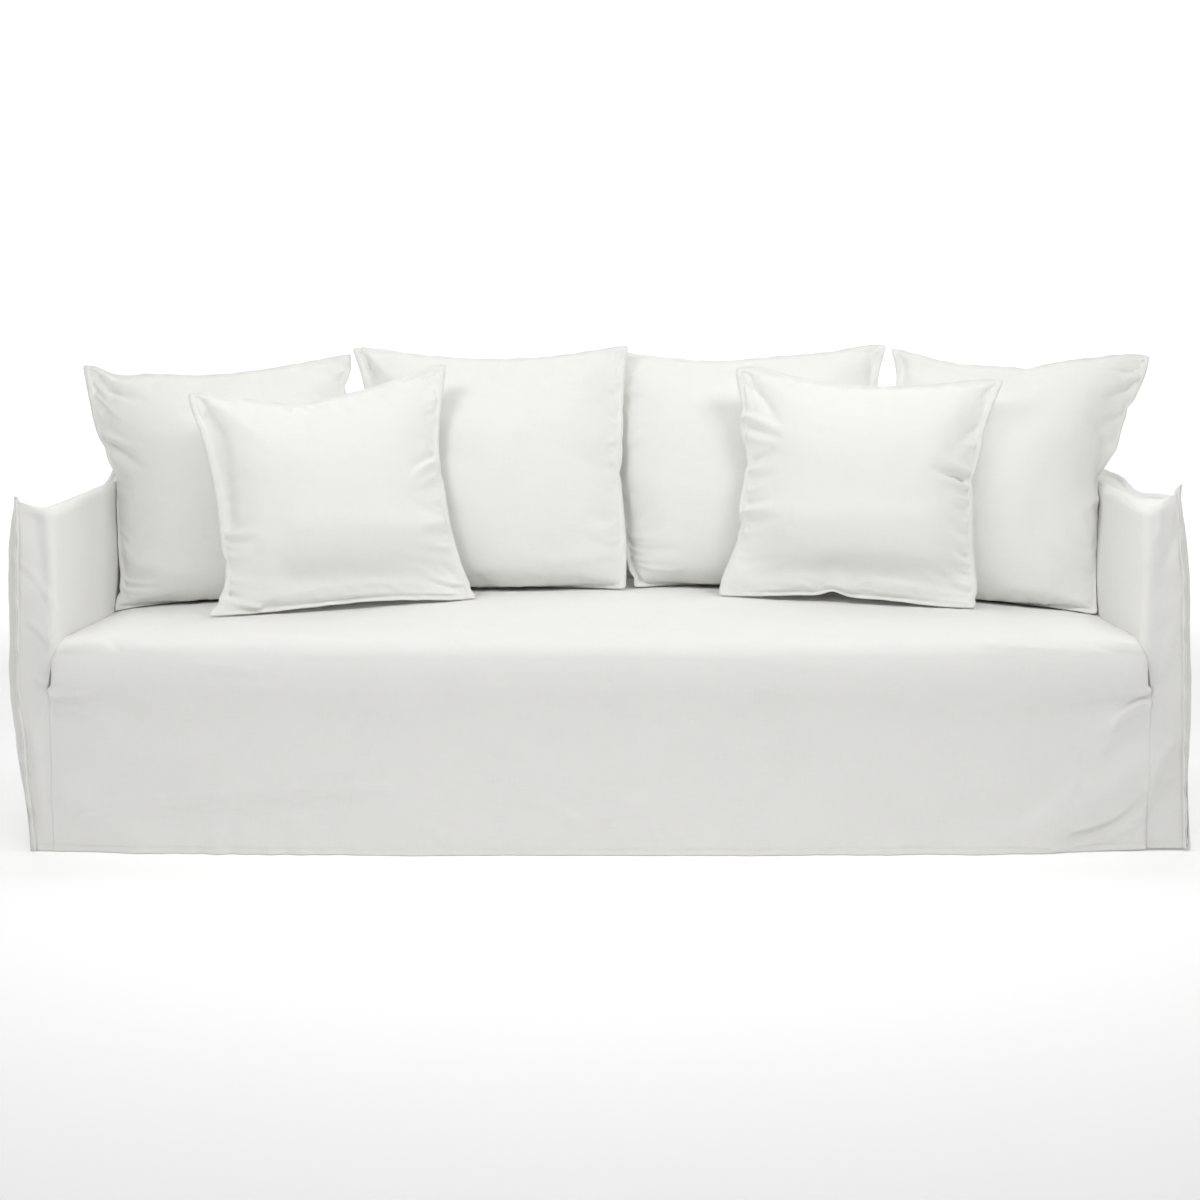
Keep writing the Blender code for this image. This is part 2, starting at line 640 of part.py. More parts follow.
deck_tree = seat_and_skirt()
inside_back()
outside_back()
inside_arm(LEFT, "inside_arm_left")
inside_arm(RIGHT, "inside_arm_right")
outside_arm(LEFT, "outside_arm_left")
outside_arm(RIGHT, "outside_arm_right")

back_trees = []
for cushion_row in CUSHIONS[:4]:
    back_trees.append(cushion(cushion_row, []))
for cushion_row in CUSHIONS[4:]:
    cushion(cushion_row, back_trees)
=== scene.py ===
import math

import bmesh
import bpy
import numpy as np
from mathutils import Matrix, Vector
from mathutils.bvhtree import BVHTree


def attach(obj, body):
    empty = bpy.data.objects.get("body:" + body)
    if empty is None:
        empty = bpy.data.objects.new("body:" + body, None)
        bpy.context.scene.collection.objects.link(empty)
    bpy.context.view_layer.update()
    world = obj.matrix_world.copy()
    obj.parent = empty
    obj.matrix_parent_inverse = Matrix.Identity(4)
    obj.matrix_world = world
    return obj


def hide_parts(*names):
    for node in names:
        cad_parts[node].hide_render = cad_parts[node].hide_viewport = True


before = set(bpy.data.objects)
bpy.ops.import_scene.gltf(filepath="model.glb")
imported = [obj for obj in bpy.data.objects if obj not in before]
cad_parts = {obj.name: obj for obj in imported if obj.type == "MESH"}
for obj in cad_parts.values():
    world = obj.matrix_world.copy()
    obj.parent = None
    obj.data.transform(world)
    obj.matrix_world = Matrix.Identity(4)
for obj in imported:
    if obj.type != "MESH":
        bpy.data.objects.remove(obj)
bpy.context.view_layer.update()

# Seat and skirt. One length of washed linen covers the seat deck, rolls over the front edge and
# falls to the floor, where it ends in a narrow stitched hem. It is sewn to the inside back, to
# the arms' inner cloth and, below two open slits, to the front of each arm.

# Sizes are measured from the floor and from the front of the arms, as the sofa stands
ORIGIN = np.array((0.0, 0.40, 0.462))
INNER_HALF = 1.118
FLANGE_HALF = 1.197
CLOTH = 0.0025
SEAM_GAP = 0.0003
ARM_RADIUS = 0.022
EDGE_RADIUS = 0.090
ROLL_FIRMNESS = 0.76
ROLL_FIRMNESS_SIDE = 0.60
BACK_FACE = 0.765
BACK_LEAN = 0.12
DECK_REAR_HEIGHT = 0.43
SEAT_FRONT_SIDE = 0.444
SEAT_FRONT_MIDDLE = 0.441
SEAT_SIDE_SINK = 0.014
SEAT_CROWN = 0.041
SKIRT_BOW = 0.037
HEM_BOW = 0.028
HEM_HEIGHT = 0.0015
HEM_DEPTH = 0.013
HEM_LIFT = 0.004
# Heights above the hem of the lowest rows of points
NEAR_HEM = np.array((0.0, 0.002, 0.006, 0.010, 0.012, 0.014, 0.016, 0.020, 0.027))
HEM_FLARE = 0.007
SLIT_BOTTOM = 0.344
SLIT_TOP = 0.412
SLIT_PROUD = 0.012
SLIT_TURN_IN = 0.0080
SLIT_TURN_BACK = 0.009
# How far the skirt is drawn in below the roll, how far the deck's edge is set ahead round the
# arms' rounded fronts, and how far the roll's two front corners sink
RAIL_TUCK = 0.0018
EDGE_AHEAD = 0.003
CORNER_SINK = 0.014
LEFT = -1
RIGHT = 1
HEM_SWING = {LEFT: 0.012, RIGHT: 0.018}
# Broad folds that the solid has too: start and end on the front (x, z), half width and height
BROAD_FOLDS = (
    ((1.142, 0.330), (1.046, 0.259), 0.022, 0.006),
    ((1.142, 0.195), (0.914, 0.030), 0.040, 0.012),
    ((0.930, 0.070), (0.790, 0.010), 0.040, 0.008),
    ((-1.100, 0.120), (-0.960, 0.010), 0.040, 0.008),
    ((-1.090, 0.047), (-0.727, 0.036), 0.020, 0.005),
    ((-0.420, 0.110), (-0.370, 0.000), 0.050, 0.006),
    ((0.300, 0.090), (0.330, 0.000), 0.060, 0.005),
)
# Creases that the cloth keeps from its seams: the same, and how far each bends sideways
FRONT_CREASES = (
    ((-1.122, 0.300), (-1.060, 0.286), 0.0054, 0.0047, 0.004),
    ((-1.120, 0.224), (-1.050, 0.217), 0.0054, 0.0031, 0.003),
    ((-1.118, 0.196), (-1.070, 0.194), 0.0045, 0.0025, 0.002),
    ((-1.115, 0.168), (-1.074, 0.170), 0.0045, 0.0022, 0.002),
    ((-1.078, 0.088), (-0.440, 0.140), 0.009, 0.0053, 0.012),
    ((-0.960, 0.070), (-0.600, 0.098), 0.0072, -0.0028, 0.008),
    ((-0.402, 0.068), (-0.318, 0.034), 0.009, 0.0047, 0.006),
    ((-0.133, 0.108), (-0.060, 0.074), 0.0108, 0.0053, 0.008),
    ((-0.060, 0.074), (0.080, 0.112), 0.0126, 0.0047, -0.010),
    ((0.110, 0.050), (0.190, 0.014), 0.0108, 0.0040, 0.004),
    ((1.135, 0.341), (1.092, 0.324), 0.0045, 0.0047, -0.003),
    ((1.132, 0.330), (1.080, 0.300), 0.0045, -0.0043, -0.005),
    ((1.137, 0.317), (1.062, 0.268), 0.0072, 0.0078, -0.010),
    ((1.137, 0.275), (1.040, 0.215), 0.0108, 0.0040, -0.012),
    ((1.137, 0.130), (0.985, 0.040), 0.009, -0.0078, 0.022),
    ((1.137, 0.078), (0.940, 0.020), 0.009, 0.0062, 0.016),
    ((0.985, 0.140), (0.860, 0.046), 0.0144, 0.0040, 0.010),
    ((0.700, 0.040), (0.560, 0.012), 0.0108, 0.0037, 0.004),
    ((-1.185, 0.604), (-1.135, 0.534), 0.007, 0.0036, 0.003),
    ((-1.180, 0.590), (-1.140, 0.530), 0.009, -0.0018, 0.003),
    ((-1.172, 0.482), (-1.138, 0.440), 0.007, 0.0032, 0.004),
    ((-1.180, 0.470), (-1.145, 0.436), 0.008, -0.0016, 0.004),
    ((-1.160, 0.362), (-1.130, 0.340), 0.007, 0.0040, 0.002),
    ((-1.158, 0.695), (-1.144, 0.560), 0.015, -0.0060, 0.002),
    ((-1.175, 0.250), (-1.160, 0.060), 0.0108, 0.0047, 0.002),
    ((1.190, 0.700), (1.160, 0.600), 0.012, -0.0050, 0.003),
    ((1.150, 0.715), (1.146, 0.660), 0.009, 0.0050, 0.002),
    ((1.184, 0.470), (1.160, 0.380), 0.012, 0.0024, 0.003),
    ((1.186, 0.230), (1.140, 0.130), 0.0108, 0.0074, -0.006),
    ((1.190, 0.150), (1.142, 0.070), 0.009, -0.0056, -0.004),
    ((1.150, 0.345), (1.166, 0.290), 0.007, 0.0030, 0.002),
)
# Creases on the rolled edge and the deck: across the seat, and along the cloth from the hem
DECK_CREASES = (
    ((-1.095, 0.452), (-1.030, 0.462), 0.018, 0.0050, 0.004),
    ((-1.040, 0.482), (-0.990, 0.436), 0.009, -0.0040, 0.006),
    ((-1.012, 0.490), (-0.950, 0.452), 0.010, 0.0022, 0.006),
    ((-0.840, 0.400), (-0.700, 0.382), 0.010, 0.0024, 0.004),
    ((-0.800, 0.378), (-0.640, 0.366), 0.008, -0.0016, 0.003),
    ((1.010, 0.470), (1.085, 0.430), 0.008, -0.0036, -0.006),
    ((1.035, 0.492), (1.105, 0.452), 0.009, 0.0032, -0.006),
    ((0.800, 0.455), (0.960, 0.440), 0.012, 0.0020, 0.004),
    ((0.250, 0.410), (0.450, 0.398), 0.012, 0.0018, 0.004),
)


def clamp(value):
    return np.clip(value, 0.0, 1.0)


def ease(value):
    """Smooth step from 0 to 1."""
    t = clamp(value)
    return t * t * (3.0 - 2.0 * t)


def mix(start, end, share):
    return start + (end - start) * share


def wrap(value):
    """Rises from 0 to 1 as a quarter circle does."""
    t = 1.0 - clamp(value)
    return np.sqrt(1.0 - t * t)


def points_at(x, y, z):
    """Points from coordinates that are single values, rows or grids."""
    return np.stack(np.broadcast_arrays(x, y, z), axis=-1)


def ripple(along, pitch, shift=0.0):
    return np.sin(2.0 * math.pi * along / pitch + shift)


def read_table(rows, at):
    """Values between the rows (place, value) of a table, with smooth joins."""
    result = np.full(np.shape(at), float(rows[0][1]))
    for (place_a, value_a), (place_b, value_b) in zip(rows, rows[1:]):
        share = ease((at - place_a) / (place_b - place_a))
        result = np.where(at > place_a, mix(value_a, value_b, share), result)
    return result


def fold(across, along, start, end, half_width, height, bend=0.0, taper=0.0, spread=0.0):
    """A soft fold of the cloth from start to end, which dies away at its ends and to its sides."""
    (a0, b0), (a1, b1) = start, end
    length = math.hypot(a1 - a0, b1 - b0)
    run_a, run_b = (a1 - a0) / length, (b1 - b0) / length
    forward = (across - a0) * run_a + (along - b0) * run_b
    share = clamp(forward / length)
    sideways = (along - b0) * run_a - (across - a0) * run_b
    sideways = sideways - 4.0 * bend * share * (1.0 - share)
    beyond = forward - share * length
    distance = (sideways ** 2 + beyond ** 2) / (half_width * (1.0 + spread * share)) ** 2
    return height * (1.0 - taper * share) * np.exp(-distance)


def folds(rows, across, along):
    return sum(fold(across, along, *row) for row in rows)


def uneven(across, along, height, size, seed):
    """Smooth uneven swell of the cloth, from a few crossing waves of about that size."""
    spin = np.random.default_rng(seed)
    total = 0.0
    for turn in range(7):
        angle = spin.uniform(0.0, math.pi)
        pitch = size * spin.uniform(0.6, 1.7)
        phase = spin.uniform(0.0, 2.0 * math.pi)
        line = across * math.cos(angle) + along * math.sin(angle)
        bend = 0.35 * ripple(along * 0.6 - across * 0.8, 2.3 * pitch, phase)
        total = total + ripple(line, pitch, phase + bend)
    return height * total / 3.2


def seat_height(x, y):
    """Height of the deck, which sinks beside the arms and is crowned in its middle."""
    rise = ease((y - 0.02) / 0.50)
    side = SEAT_FRONT_SIDE - SEAT_SIDE_SINK * rise
    middle = SEAT_FRONT_MIDDLE + SEAT_CROWN * rise
    across = 1.0 - np.minimum(1.0, np.abs(x) / INNER_HALF) ** 2.5
    return mix(side, middle, across)


def back_face(z):
    return BACK_FACE + BACK_LEAN * (z - DECK_REAR_HEIGHT)


def arm_inner(y):
    """Half the width between the arms, whose front edges are rounded off."""
    turn = ARM_RADIUS - np.clip(y, 0.0, ARM_RADIUS)
    return INNER_HALF + ARM_RADIUS - np.sqrt(np.maximum(0.0, ARM_RADIUS ** 2 - turn ** 2))


def hem_height(x):
    return HEM_HEIGHT + HEM_LIFT * ease((x - 0.8 * FLANGE_HALF) / (0.2 * FLANGE_HALF))


def hang_share(z):
    """0 at the slits' lower ends and above, 1 at the floor."""
    return clamp((SLIT_BOTTOM - z) / SLIT_BOTTOM)


def front_drape(x, z):
    """Set-back of the front below the slits, from its broad folds and its swing at the ends."""
    hang = hang_share(z)
    swing = np.where(x < 0.0, HEM_SWING[LEFT], HEM_SWING[RIGHT])
    set_back = swing * hang * hang * ease((np.abs(x) - 0.75) / 0.40)
    return set_back - folds(BROAD_FOLDS, x, z) * ease(hang / 0.15)


def skirt_face(x, z):
    """Depth of the skirt's face, which stands proud under the roll and bows out in its middle."""
    hang = hang_share(z)
    beside_slit = ease((np.abs(x) - 0.90) / 0.14)
    proud = SLIT_PROUD * ease((z - 0.352) / mix(0.090, 0.030, beside_slit) + 1.0)
    bow = mix(SKIRT_BOW, HEM_BOW, hang) * (1.0 - (x / (INNER_HALF + ARM_RADIUS)) ** 2)
    return front_drape(x, z) - proud - np.maximum(0.0, bow)


def places(count, crowding):
    """Places from -1 to 1, closer together towards the ends."""
    t = np.linspace(-1.0, 1.0, count + 1)
    return t + crowding * np.sin(np.pi * t)


def places_to_seams(count, crowding):
    """The same, with a few more close to both ends, so that the seams stay crisp."""
    near = np.array((0.9940, 0.9965, 0.9985, 1.0))
    return np.concatenate((-near[::-1], 0.991 * places(count, crowding), near))


def grid_normals(points):
    normal = np.cross(np.gradient(points, axis=1), np.gradient(points, axis=0))
    return normal / np.maximum(1e-9, np.linalg.norm(normal, axis=2, keepdims=True))


def cloth_lengths(points):
    """Cloth measured across and along a grid of points, in metres, for its weave."""
    across = np.zeros(points.shape[:2])
    along = np.zeros(points.shape[:2])
    across[:, 1:] = np.cumsum(np.linalg.norm(np.diff(points, axis=1), axis=2), axis=1)
    along[1:] = np.cumsum(np.linalg.norm(np.diff(points, axis=0), axis=2), axis=0)
    return np.stack((across, along), axis=2)


def grid_faces(rows, columns, first=0):
    index = np.arange(rows * columns).reshape(rows, columns) + first
    corners = (index[:-1, :-1], index[:-1, 1:], index[1:, 1:], index[1:, :-1])
    return np.stack(corners, axis=2).reshape(-1, 4)


def cloth_mesh(name, points, cloth, faces):
    """A mesh from points measured from the floor; its UV map is each point's place on the cloth."""
    mesh = bpy.data.meshes.new(name)
    mesh.from_pydata((points - ORIGIN).tolist(), [], faces.tolist())
    layer = mesh.uv_layers.new(name="cloth")
    layer.data.foreach_set("uv", cloth[faces.ravel()].ravel().astype(np.float32))
    return mesh


def grid_mesh(name, grids, flip=False):
    """One mesh from grids of points and of their places on the cloth, joined where they meet."""
    points, cloth, faces = [], [], []
    first = 0
    for place, lengths in grids:
        rows, columns = place.shape[:2]
        points.append(place.reshape(-1, 3))
        cloth.append(lengths.reshape(-1, 2))
        quads = grid_faces(rows, columns, first)
        faces.append(quads[:, ::-1] if flip else quads)
        first += rows * columns
    mesh = cloth_mesh(name, np.concatenate(points), np.concatenate(cloth), np.concatenate(faces))
    if len(grids) > 1:
        body = bmesh.new()
        body.from_mesh(mesh)
        bmesh.ops.remove_doubles(body, verts=body.verts, dist=2e-5)
        body.to_mesh(mesh)
        body.free()
    mesh.shade_smooth()
    return mesh


def read_vectors(mesh, kind):
    """The places ("co") or the normals ("normal") of a mesh's points."""
    values = np.empty(3 * len(mesh.vertices))
    mesh.vertices.foreach_get(kind, values)
    return values.reshape(-1, 3)


def move_points(mesh, points):
    mesh.vertices.foreach_set("co", points.ravel())
    mesh.update()


def face_tree(mesh, shift=0.0):
    """Tree of a mesh's faces, to find the nearest one or the one that a ray meets."""
    faces = [tuple(face.vertices) for face in mesh.polygons]
    return BVHTree.FromPolygons((read_vectors(mesh, "co") + shift).tolist(), faces)


def add_object(name, data):
    made = bpy.data.objects.new(name, data)
    bpy.context.scene.collection.objects.link(made)
    return made


# The outer face of each piece, for the rows of stitches that lie on it
outer_faces = {}


def cloth_piece(name, mesh, material):
    """A panel of cloth: its points lie on the outer side and its thickness goes inwards."""
    mesh.materials.append(material)
    outer_faces[name] = face_tree(mesh)
    piece = add_object(name, mesh)
    thickness = piece.modifiers.new("thickness", "SOLIDIFY")
    thickness.thickness = CLOTH
    thickness.offset = -1.0
    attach(piece, "root")
    return piece


def feed(node, inputs):
    """Gives a node's inputs plain values, or links them to the sockets that feed them."""
    for name, value in inputs.items():
        if isinstance(value, bpy.types.NodeSocket):
            node.id_data.links.new(value, node.inputs[name])
        else:
            node.inputs[name].default_value = value
    return node


def new_material(name, finish):
    """A material with its node tree and its shader, whose finish is set."""
    material = bpy.data.materials.new(name)
    material.use_nodes = True
    tree = material.node_tree
    return material, tree, feed(tree.nodes["Principled BSDF"], finish)


def washed_linen(name, tone, crumple):
    """Plain-woven washed linen: uneven threads, slubs and a soft crumple, in cloth metres."""
    material, tree, shader = new_material(name, {
        "Roughness": 0.90, "Specular IOR Level": 0.18, "Sheen Weight": 0.10, "Sheen Roughness": 0.45,
    })
    cloth = tree.nodes.new("ShaderNodeUVMap")
    cloth.uv_map = "cloth"
    split = feed(tree.nodes.new("ShaderNodeSeparateXYZ"), {0: cloth.outputs["UV"]})
    place = tree.nodes.new("ShaderNodeTexCoord").outputs["Object"]

    def maths(operation, *values):
        node = tree.nodes.new("ShaderNodeMath")
        node.operation = operation
        return feed(node, dict(enumerate(values))).outputs[0]

    def noise(vector, scale, detail, **others):
        texture = tree.nodes.new("ShaderNodeTexNoise")
        return feed(texture, {"Vector": vector, "Scale": scale, "Detail": detail, **others}).outputs["Fac"]

    def slub(scale_across, scale_along):
        """Noise stretched along a thread: scales are swells for each metre."""
        stretched = feed(tree.nodes.new("ShaderNodeMapping"), {
            "Vector": cloth.outputs["UV"], "Scale": (scale_across, scale_along, 1.0),
        })
        return noise(stretched.outputs[0], 1.0, 3.0)

    def bump(inputs):
        return feed(tree.nodes.new("ShaderNodeBump"), inputs).outputs["Normal"]

    threads, swells, waver = 620.0, 22.0, 5.0
    slub_across, slub_along = slub(swells, threads), slub(threads, swells)
    turns = 2.0 * math.pi * threads
    wavers = (maths("MULTIPLY", slub_across, waver), maths("MULTIPLY", slub_along, waver))
    warp = maths("SINE", maths("MULTIPLY_ADD", split.outputs["X"], turns, wavers[0]))
    weft = maths("SINE", maths("MULTIPLY_ADD", split.outputs["Y"], turns, wavers[1]))
    weave = maths("MULTIPLY", warp, weft)
    slubs = maths("ADD", slub_across, slub_along)
    soft = noise(place, 7.0, 5.0, Roughness=0.55)
    fine = noise(place, 42.0, 4.0, Distortion=0.6)

    shade = maths("ADD", maths("MULTIPLY_ADD", weave, 0.06, 0.35), maths("MULTIPLY", slubs, 0.42))
    shade = maths("ADD", shade, maths("MULTIPLY", soft, 0.30))
    ramp = feed(tree.nodes.new("ShaderNodeValToRGB"), {"Fac": shade})
    for end, position, lightness in zip(ramp.color_ramp.elements, (0.55, 0.925926), (0.925, 1.02)):
        end.position = position
        end.color = tuple(min(1.0, lightness * channel) for channel in tone) + (1.0,)
    crumpled = bump({"Height": maths("ADD", soft, maths("MULTIPLY", fine, 0.16)), "Distance": crumple})
    threads_up = maths("ADD", weave, maths("MULTIPLY", slubs, 1.6))
    normal = bump({"Height": threads_up, "Distance": 0.00016, "Normal": crumpled})
    feed(shader, {"Base Color": ramp.outputs["Color"], "Normal": normal})
    return material


def seat_and_skirt_points():
    """Rows of points from the hem up the skirt, round the roll and back along the deck."""
    share = places_to_seams(276, 0.09)[None, :]
    x_skirt = share * (INNER_HALF + ARM_RADIUS)
    x_deck = share * INNER_HALF
    foot = SEAT_FRONT_SIDE - EDGE_RADIUS
    drop = np.concatenate((NEAR_HEM / foot, np.linspace(0.034 / foot, 1.0, 46)[:-1]))[:, None]
    z = mix(hem_height(x_skirt), foot, drop)
    inset = share * (INNER_HALF + ARM_RADIUS - 0.5 * SEAM_GAP)
    skirt = points_at(inset, skirt_face(x_skirt, z), z)

    angle = np.radians(np.linspace(90.0, 0.0, 23))[:, None]
    front = skirt_face(x_deck, np.full_like(x_deck, foot))
    firmness = mix(ROLL_FIRMNESS, ROLL_FIRMNESS_SIDE, ease((np.abs(share) - 0.90) / 0.09))
    y = front + EDGE_RADIUS * (1.0 - np.sin(angle) ** firmness)
    top = seat_height(x_deck, front + EDGE_RADIUS)
    side = share * (arm_inner(y + EDGE_AHEAD) - SEAM_GAP)
    z = top - EDGE_RADIUS * (1.0 - np.cos(angle) ** firmness)
    corner = ease((np.abs(side) - INNER_HALF) / ARM_RADIUS) * ease((z - 0.392) / 0.040)
    roll = points_at(side, y, z - CORNER_SINK * corner)

    run = np.concatenate((np.linspace(0.0, 0.62, 58)[1:], np.linspace(0.62, 1.0, 18)[1:]))[:, None]
    rear = back_face(seat_height(x_deck, BACK_FACE)) - SEAM_GAP
    y = mix(front + EDGE_RADIUS, rear, run)
    side = share * (arm_inner(y + EDGE_AHEAD) - SEAM_GAP)
    deck = points_at(side, y, seat_height(x_deck, y))
    return np.concatenate((skirt, roll, deck))


def hem_relief(height):
    """Hem below its stitching: a doubled band, drawn in along the stitch line."""
    band = 1.0 - ease((height - HEM_DEPTH + 0.001) / 0.003)
    return 0.0012 * band - 0.0013 * np.exp(-((height - HEM_DEPTH) / 0.0018) ** 2)


def near_floor(z, reach):
    """1 at the floor, dying away above it."""
    return np.exp(-np.maximum(0.0, z) / reach)


def front_relief(x, z):
    """Creases and unevenness of the whole front, shared by the skirt and the arms' fronts."""
    total = folds(FRONT_CREASES, x, z)
    total += uneven(x, 1.4 * z, height=0.0017, size=0.19, seed=3)
    total += uneven(x, z, height=0.0005, size=0.06, seed=4)
    waves = ripple(x, 0.058) + 0.6 * ripple(x, 0.101, 1.0)
    window = np.exp(-((x + 0.72) / 0.20) ** 2) + 0.45 * np.exp(-((x - 0.55) / 0.45) ** 2)
    total += 0.0040 * waves * window * near_floor(z, 0.035)
    return total + HEM_FLARE * near_floor(z, 0.045)


def shape_seat(points):
    """Presses the folds into the seat cloth, and turns its edges in at the two slits."""
    lengths = cloth_lengths(points)
    x, z = points[..., 0], points[..., 2]
    along = lengths[..., 1]
    on_front = 1.0 - ease((along - 0.32) / 0.05)
    relief = front_relief(x, z) * on_front + hem_relief(along) * on_front
    relief += folds(DECK_CREASES, x, along) * ease((along - 0.33) / 0.03)
    deck = uneven(x, along, height=0.0009, size=0.20, seed=5)
    deck += uneven(x, along, height=0.0004, size=0.05, seed=6)
    relief += deck * (1.0 - on_front)
    middle = 1.0 - ease((np.abs(x) - 0.72) / 0.34)
    relief -= RAIL_TUCK * middle * np.exp(-((z - 0.325) / 0.045) ** 2) * on_front
    points = points + grid_normals(points) * relief[..., None]
    points[..., 2] = np.maximum(points[..., 2], 0.8 * HEM_HEIGHT)
    to_edge = np.maximum(0.0, INNER_HALF + ARM_RADIUS - SEAM_GAP - np.abs(points[..., 0]))
    in_slit = ease((z - SLIT_BOTTOM - 0.002) / 0.010) * (1.0 - ease((z - SLIT_TOP + 0.008) / 0.022))
    turned = in_slit * np.exp(-to_edge / 0.007)
    points[..., 0] -= np.sign(points[..., 0]) * SLIT_TURN_IN * turned
    points[..., 1] += SLIT_TURN_BACK * turned
    return points, lengths


cover_linen = washed_linen("cover_linen", (0.925, 0.922, 0.900), 0.0018)
mesh = grid_mesh("seat_and_skirt_cloth", [shape_seat(seat_and_skirt_points())])
seat = cloth_piece("seat_and_skirt_cloth", mesh, cover_linen)
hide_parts("seat_and_skirt")


# Inside arms. Each is one cloth that lines the inner face of an arm, turns over its top and
# round its front, and is sewn to the side panel in a flat seam that stands out as a flange.
FLANGE = 0.012
ARM_TOP = 0.72
BACK_TOP = 0.72
DEPTH = 0.96
ARM_WIDTH = FLANGE_HALF - CLOTH - INNER_HALF
# Rows across a flange, from its seam to its edge
FLANGE_ROWS = np.array((0.0, 0.35, 0.7, 1.0))
# How far the flange's line swings out at the front (height, shift), and its height (depth, height)
FLANGE_SWING = {
    LEFT: ((0.0, -0.015), (0.20, -0.004), (0.345, 0.004), (0.53, 0.0), (0.73, -0.005)),
    RIGHT: ((0.0, 0.026), (0.20, 0.016), (0.345, 0.012), (0.53, 0.006), (0.73, -0.010)),
}
TOP_EDGE = {
    LEFT: ((0.0, 0.732), (0.065, 0.704), (0.20, 0.686), (0.50, 0.685), (0.86, 0.687), (0.96, 0.720)),
    RIGHT: ((0.0, 0.750), (0.065, 0.726), (0.50, 0.702), (0.70, 0.720), (0.96, 0.720)),
}
# Each arm's flange ends in a raised tip at the front, its ear, which reaches this far back and down
EAR_REACH = 0.055
# Lean of the top flange in degrees, height of the ear, and bulge of the side panel
ARM_SHAPE = {
    LEFT: {"lean": 50.0, "ear": 0.013, "bulge": 0.028},
    RIGHT: {"lean": 10.0, "ear": 0.020, "bulge": 0.019},
}


def beside_seat(y):
    """1 along the seat, 0 along the back."""
    return 1.0 - ease((y - 0.80) / 0.12)


def flange_half(side, y, z):
    return FLANGE_HALF + read_table(FLANGE_SWING[side], z) * (1.0 - ease(y / 0.60))


def arm_flare(y, z):
    """How far the inner face of an arm leans outwards beside the cushions."""
    return 0.022 * ease((y - 0.10) / 0.40) * ease((z - 0.44) / 0.28) * beside_seat(y)


def level_wave(y, side):
    """Unevenness of a flange that runs level."""
    return 0.0016 * ripple(y, 0.071, side) + 0.0011 * ripple(y, 0.043)


def upright_wave(z, side):
    """Unevenness of a flange that stands upright."""
    return 0.0014 * ripple(z, 0.083, side) + 0.0009 * ripple(z, 0.047)


def hung_front(x, z):
    """Depth of an arm's front at its seam, which hangs free below the slits."""
    return front_drape(x, z) * ease((SLIT_BOTTOM - z) / 0.05)


def arm_edge(side, y, z, out, layer, at_top):
    """Points of an arm's sewn edge, from the seam (out 0) to the flange's outer edge (out 1)."""
    ear = ARM_SHAPE[side]["ear"]
    shift = layer * (CLOTH + SEAM_GAP)
    half = flange_half(side, y, z)
    if at_top:
        lean = np.radians(ARM_SHAPE[side]["lean"]) * beside_seat(y) * ease(y / 0.10)
        corner = ease(1.0 - y / EAR_REACH)
        height = FLANGE + (ear - FLANGE) * corner
        x = half + FLANGE * out * np.sin(lean) + shift * np.cos(lean) + level_wave(y, side) * out
        rise = height * out * np.cos(lean) - shift * np.sin(lean)
        return points_at(side * x, y - FLANGE * out * corner, read_table(TOP_EDGE[side], y) + rise)
    corner = ease(1.0 - (read_table(TOP_EDGE[side], 0.0) - z) / EAR_REACH)
    x = half + shift + upright_wave(z, side) * out
    return points_at(side * x, hung_front(side * half, z) - FLANGE * out, z + ear * out * corner)


def arm_surface(side, out, y, sharp_below, top):
    """Points of the arm's rounded box: out from the inner face, back from the front, and down."""
    share = out / ARM_WIDTH
    sharp = points_at(out, y, sharp_below)
    inner = np.maximum(sharp, ARM_RADIUS)
    offset = sharp - inner
    size = np.maximum(1e-9, np.linalg.norm(offset, axis=-1, keepdims=True))
    rounded = inner + offset * (ARM_RADIUS / size)
    firm = np.maximum(ease((y - 0.66) / 0.12), ease((share - 0.3) / 0.7))
    firm = np.broadcast_to(firm, sharp.shape[:-1])[..., None]
    shaped = mix(rounded, sharp, firm)
    z = top - shaped[..., 2]
    reach = clamp((out - ARM_RADIUS) / (ARM_WIDTH - ARM_RADIUS)) * (flange_half(side, y, z) - FLANGE_HALF)
    x = INNER_HALF + shaped[..., 0] + reach + arm_flare(shaped[..., 1], z) * (1.0 - share)
    on_front = 1.0 - clamp(shaped[..., 1] / 0.004)
    return points_at(side * x, shaped[..., 1] + on_front * front_drape(side * x, z), z)


def seam_height(out, y):
    """Lower edge of an arm's cloth, where the seat's cloth is sewn over it."""
    front = skirt_face(np.array(INNER_HALF), np.array(SLIT_BOTTOM + 0.030))
    top = seat_height(INNER_HALF, np.maximum(y, front + EDGE_RADIUS))
    turn = clamp(1.0 - (y - front) / EDGE_RADIUS)
    behind = top - EDGE_RADIUS * (1.0 - np.sqrt(1.0 - turn * turn)) - 2.0 * CLOTH
    corner = clamp((ARM_RADIUS - y + out) / (2.0 * ARM_RADIUS)) ** 6
    return np.where(y > ARM_RADIUS, behind, mix(SLIT_TOP, SLIT_BOTTOM, corner))


def arm_face(side, out, y, bottom, count):
    """One upright face of an arm, in rows from its lower edge up to the middle of the top's turn."""
    top = mix(ARM_TOP, read_table(TOP_EDGE[side], y), ease(out / ARM_WIDTH))
    turn = np.linspace(ARM_RADIUS, 0.0, 7)[1:, None]
    z = mix(bottom, top - ARM_RADIUS, np.linspace(0.0, 1.0, count)[:, None])
    z = np.concatenate((z, top - turn))
    return arm_surface(side, out, y, top - z, top), z


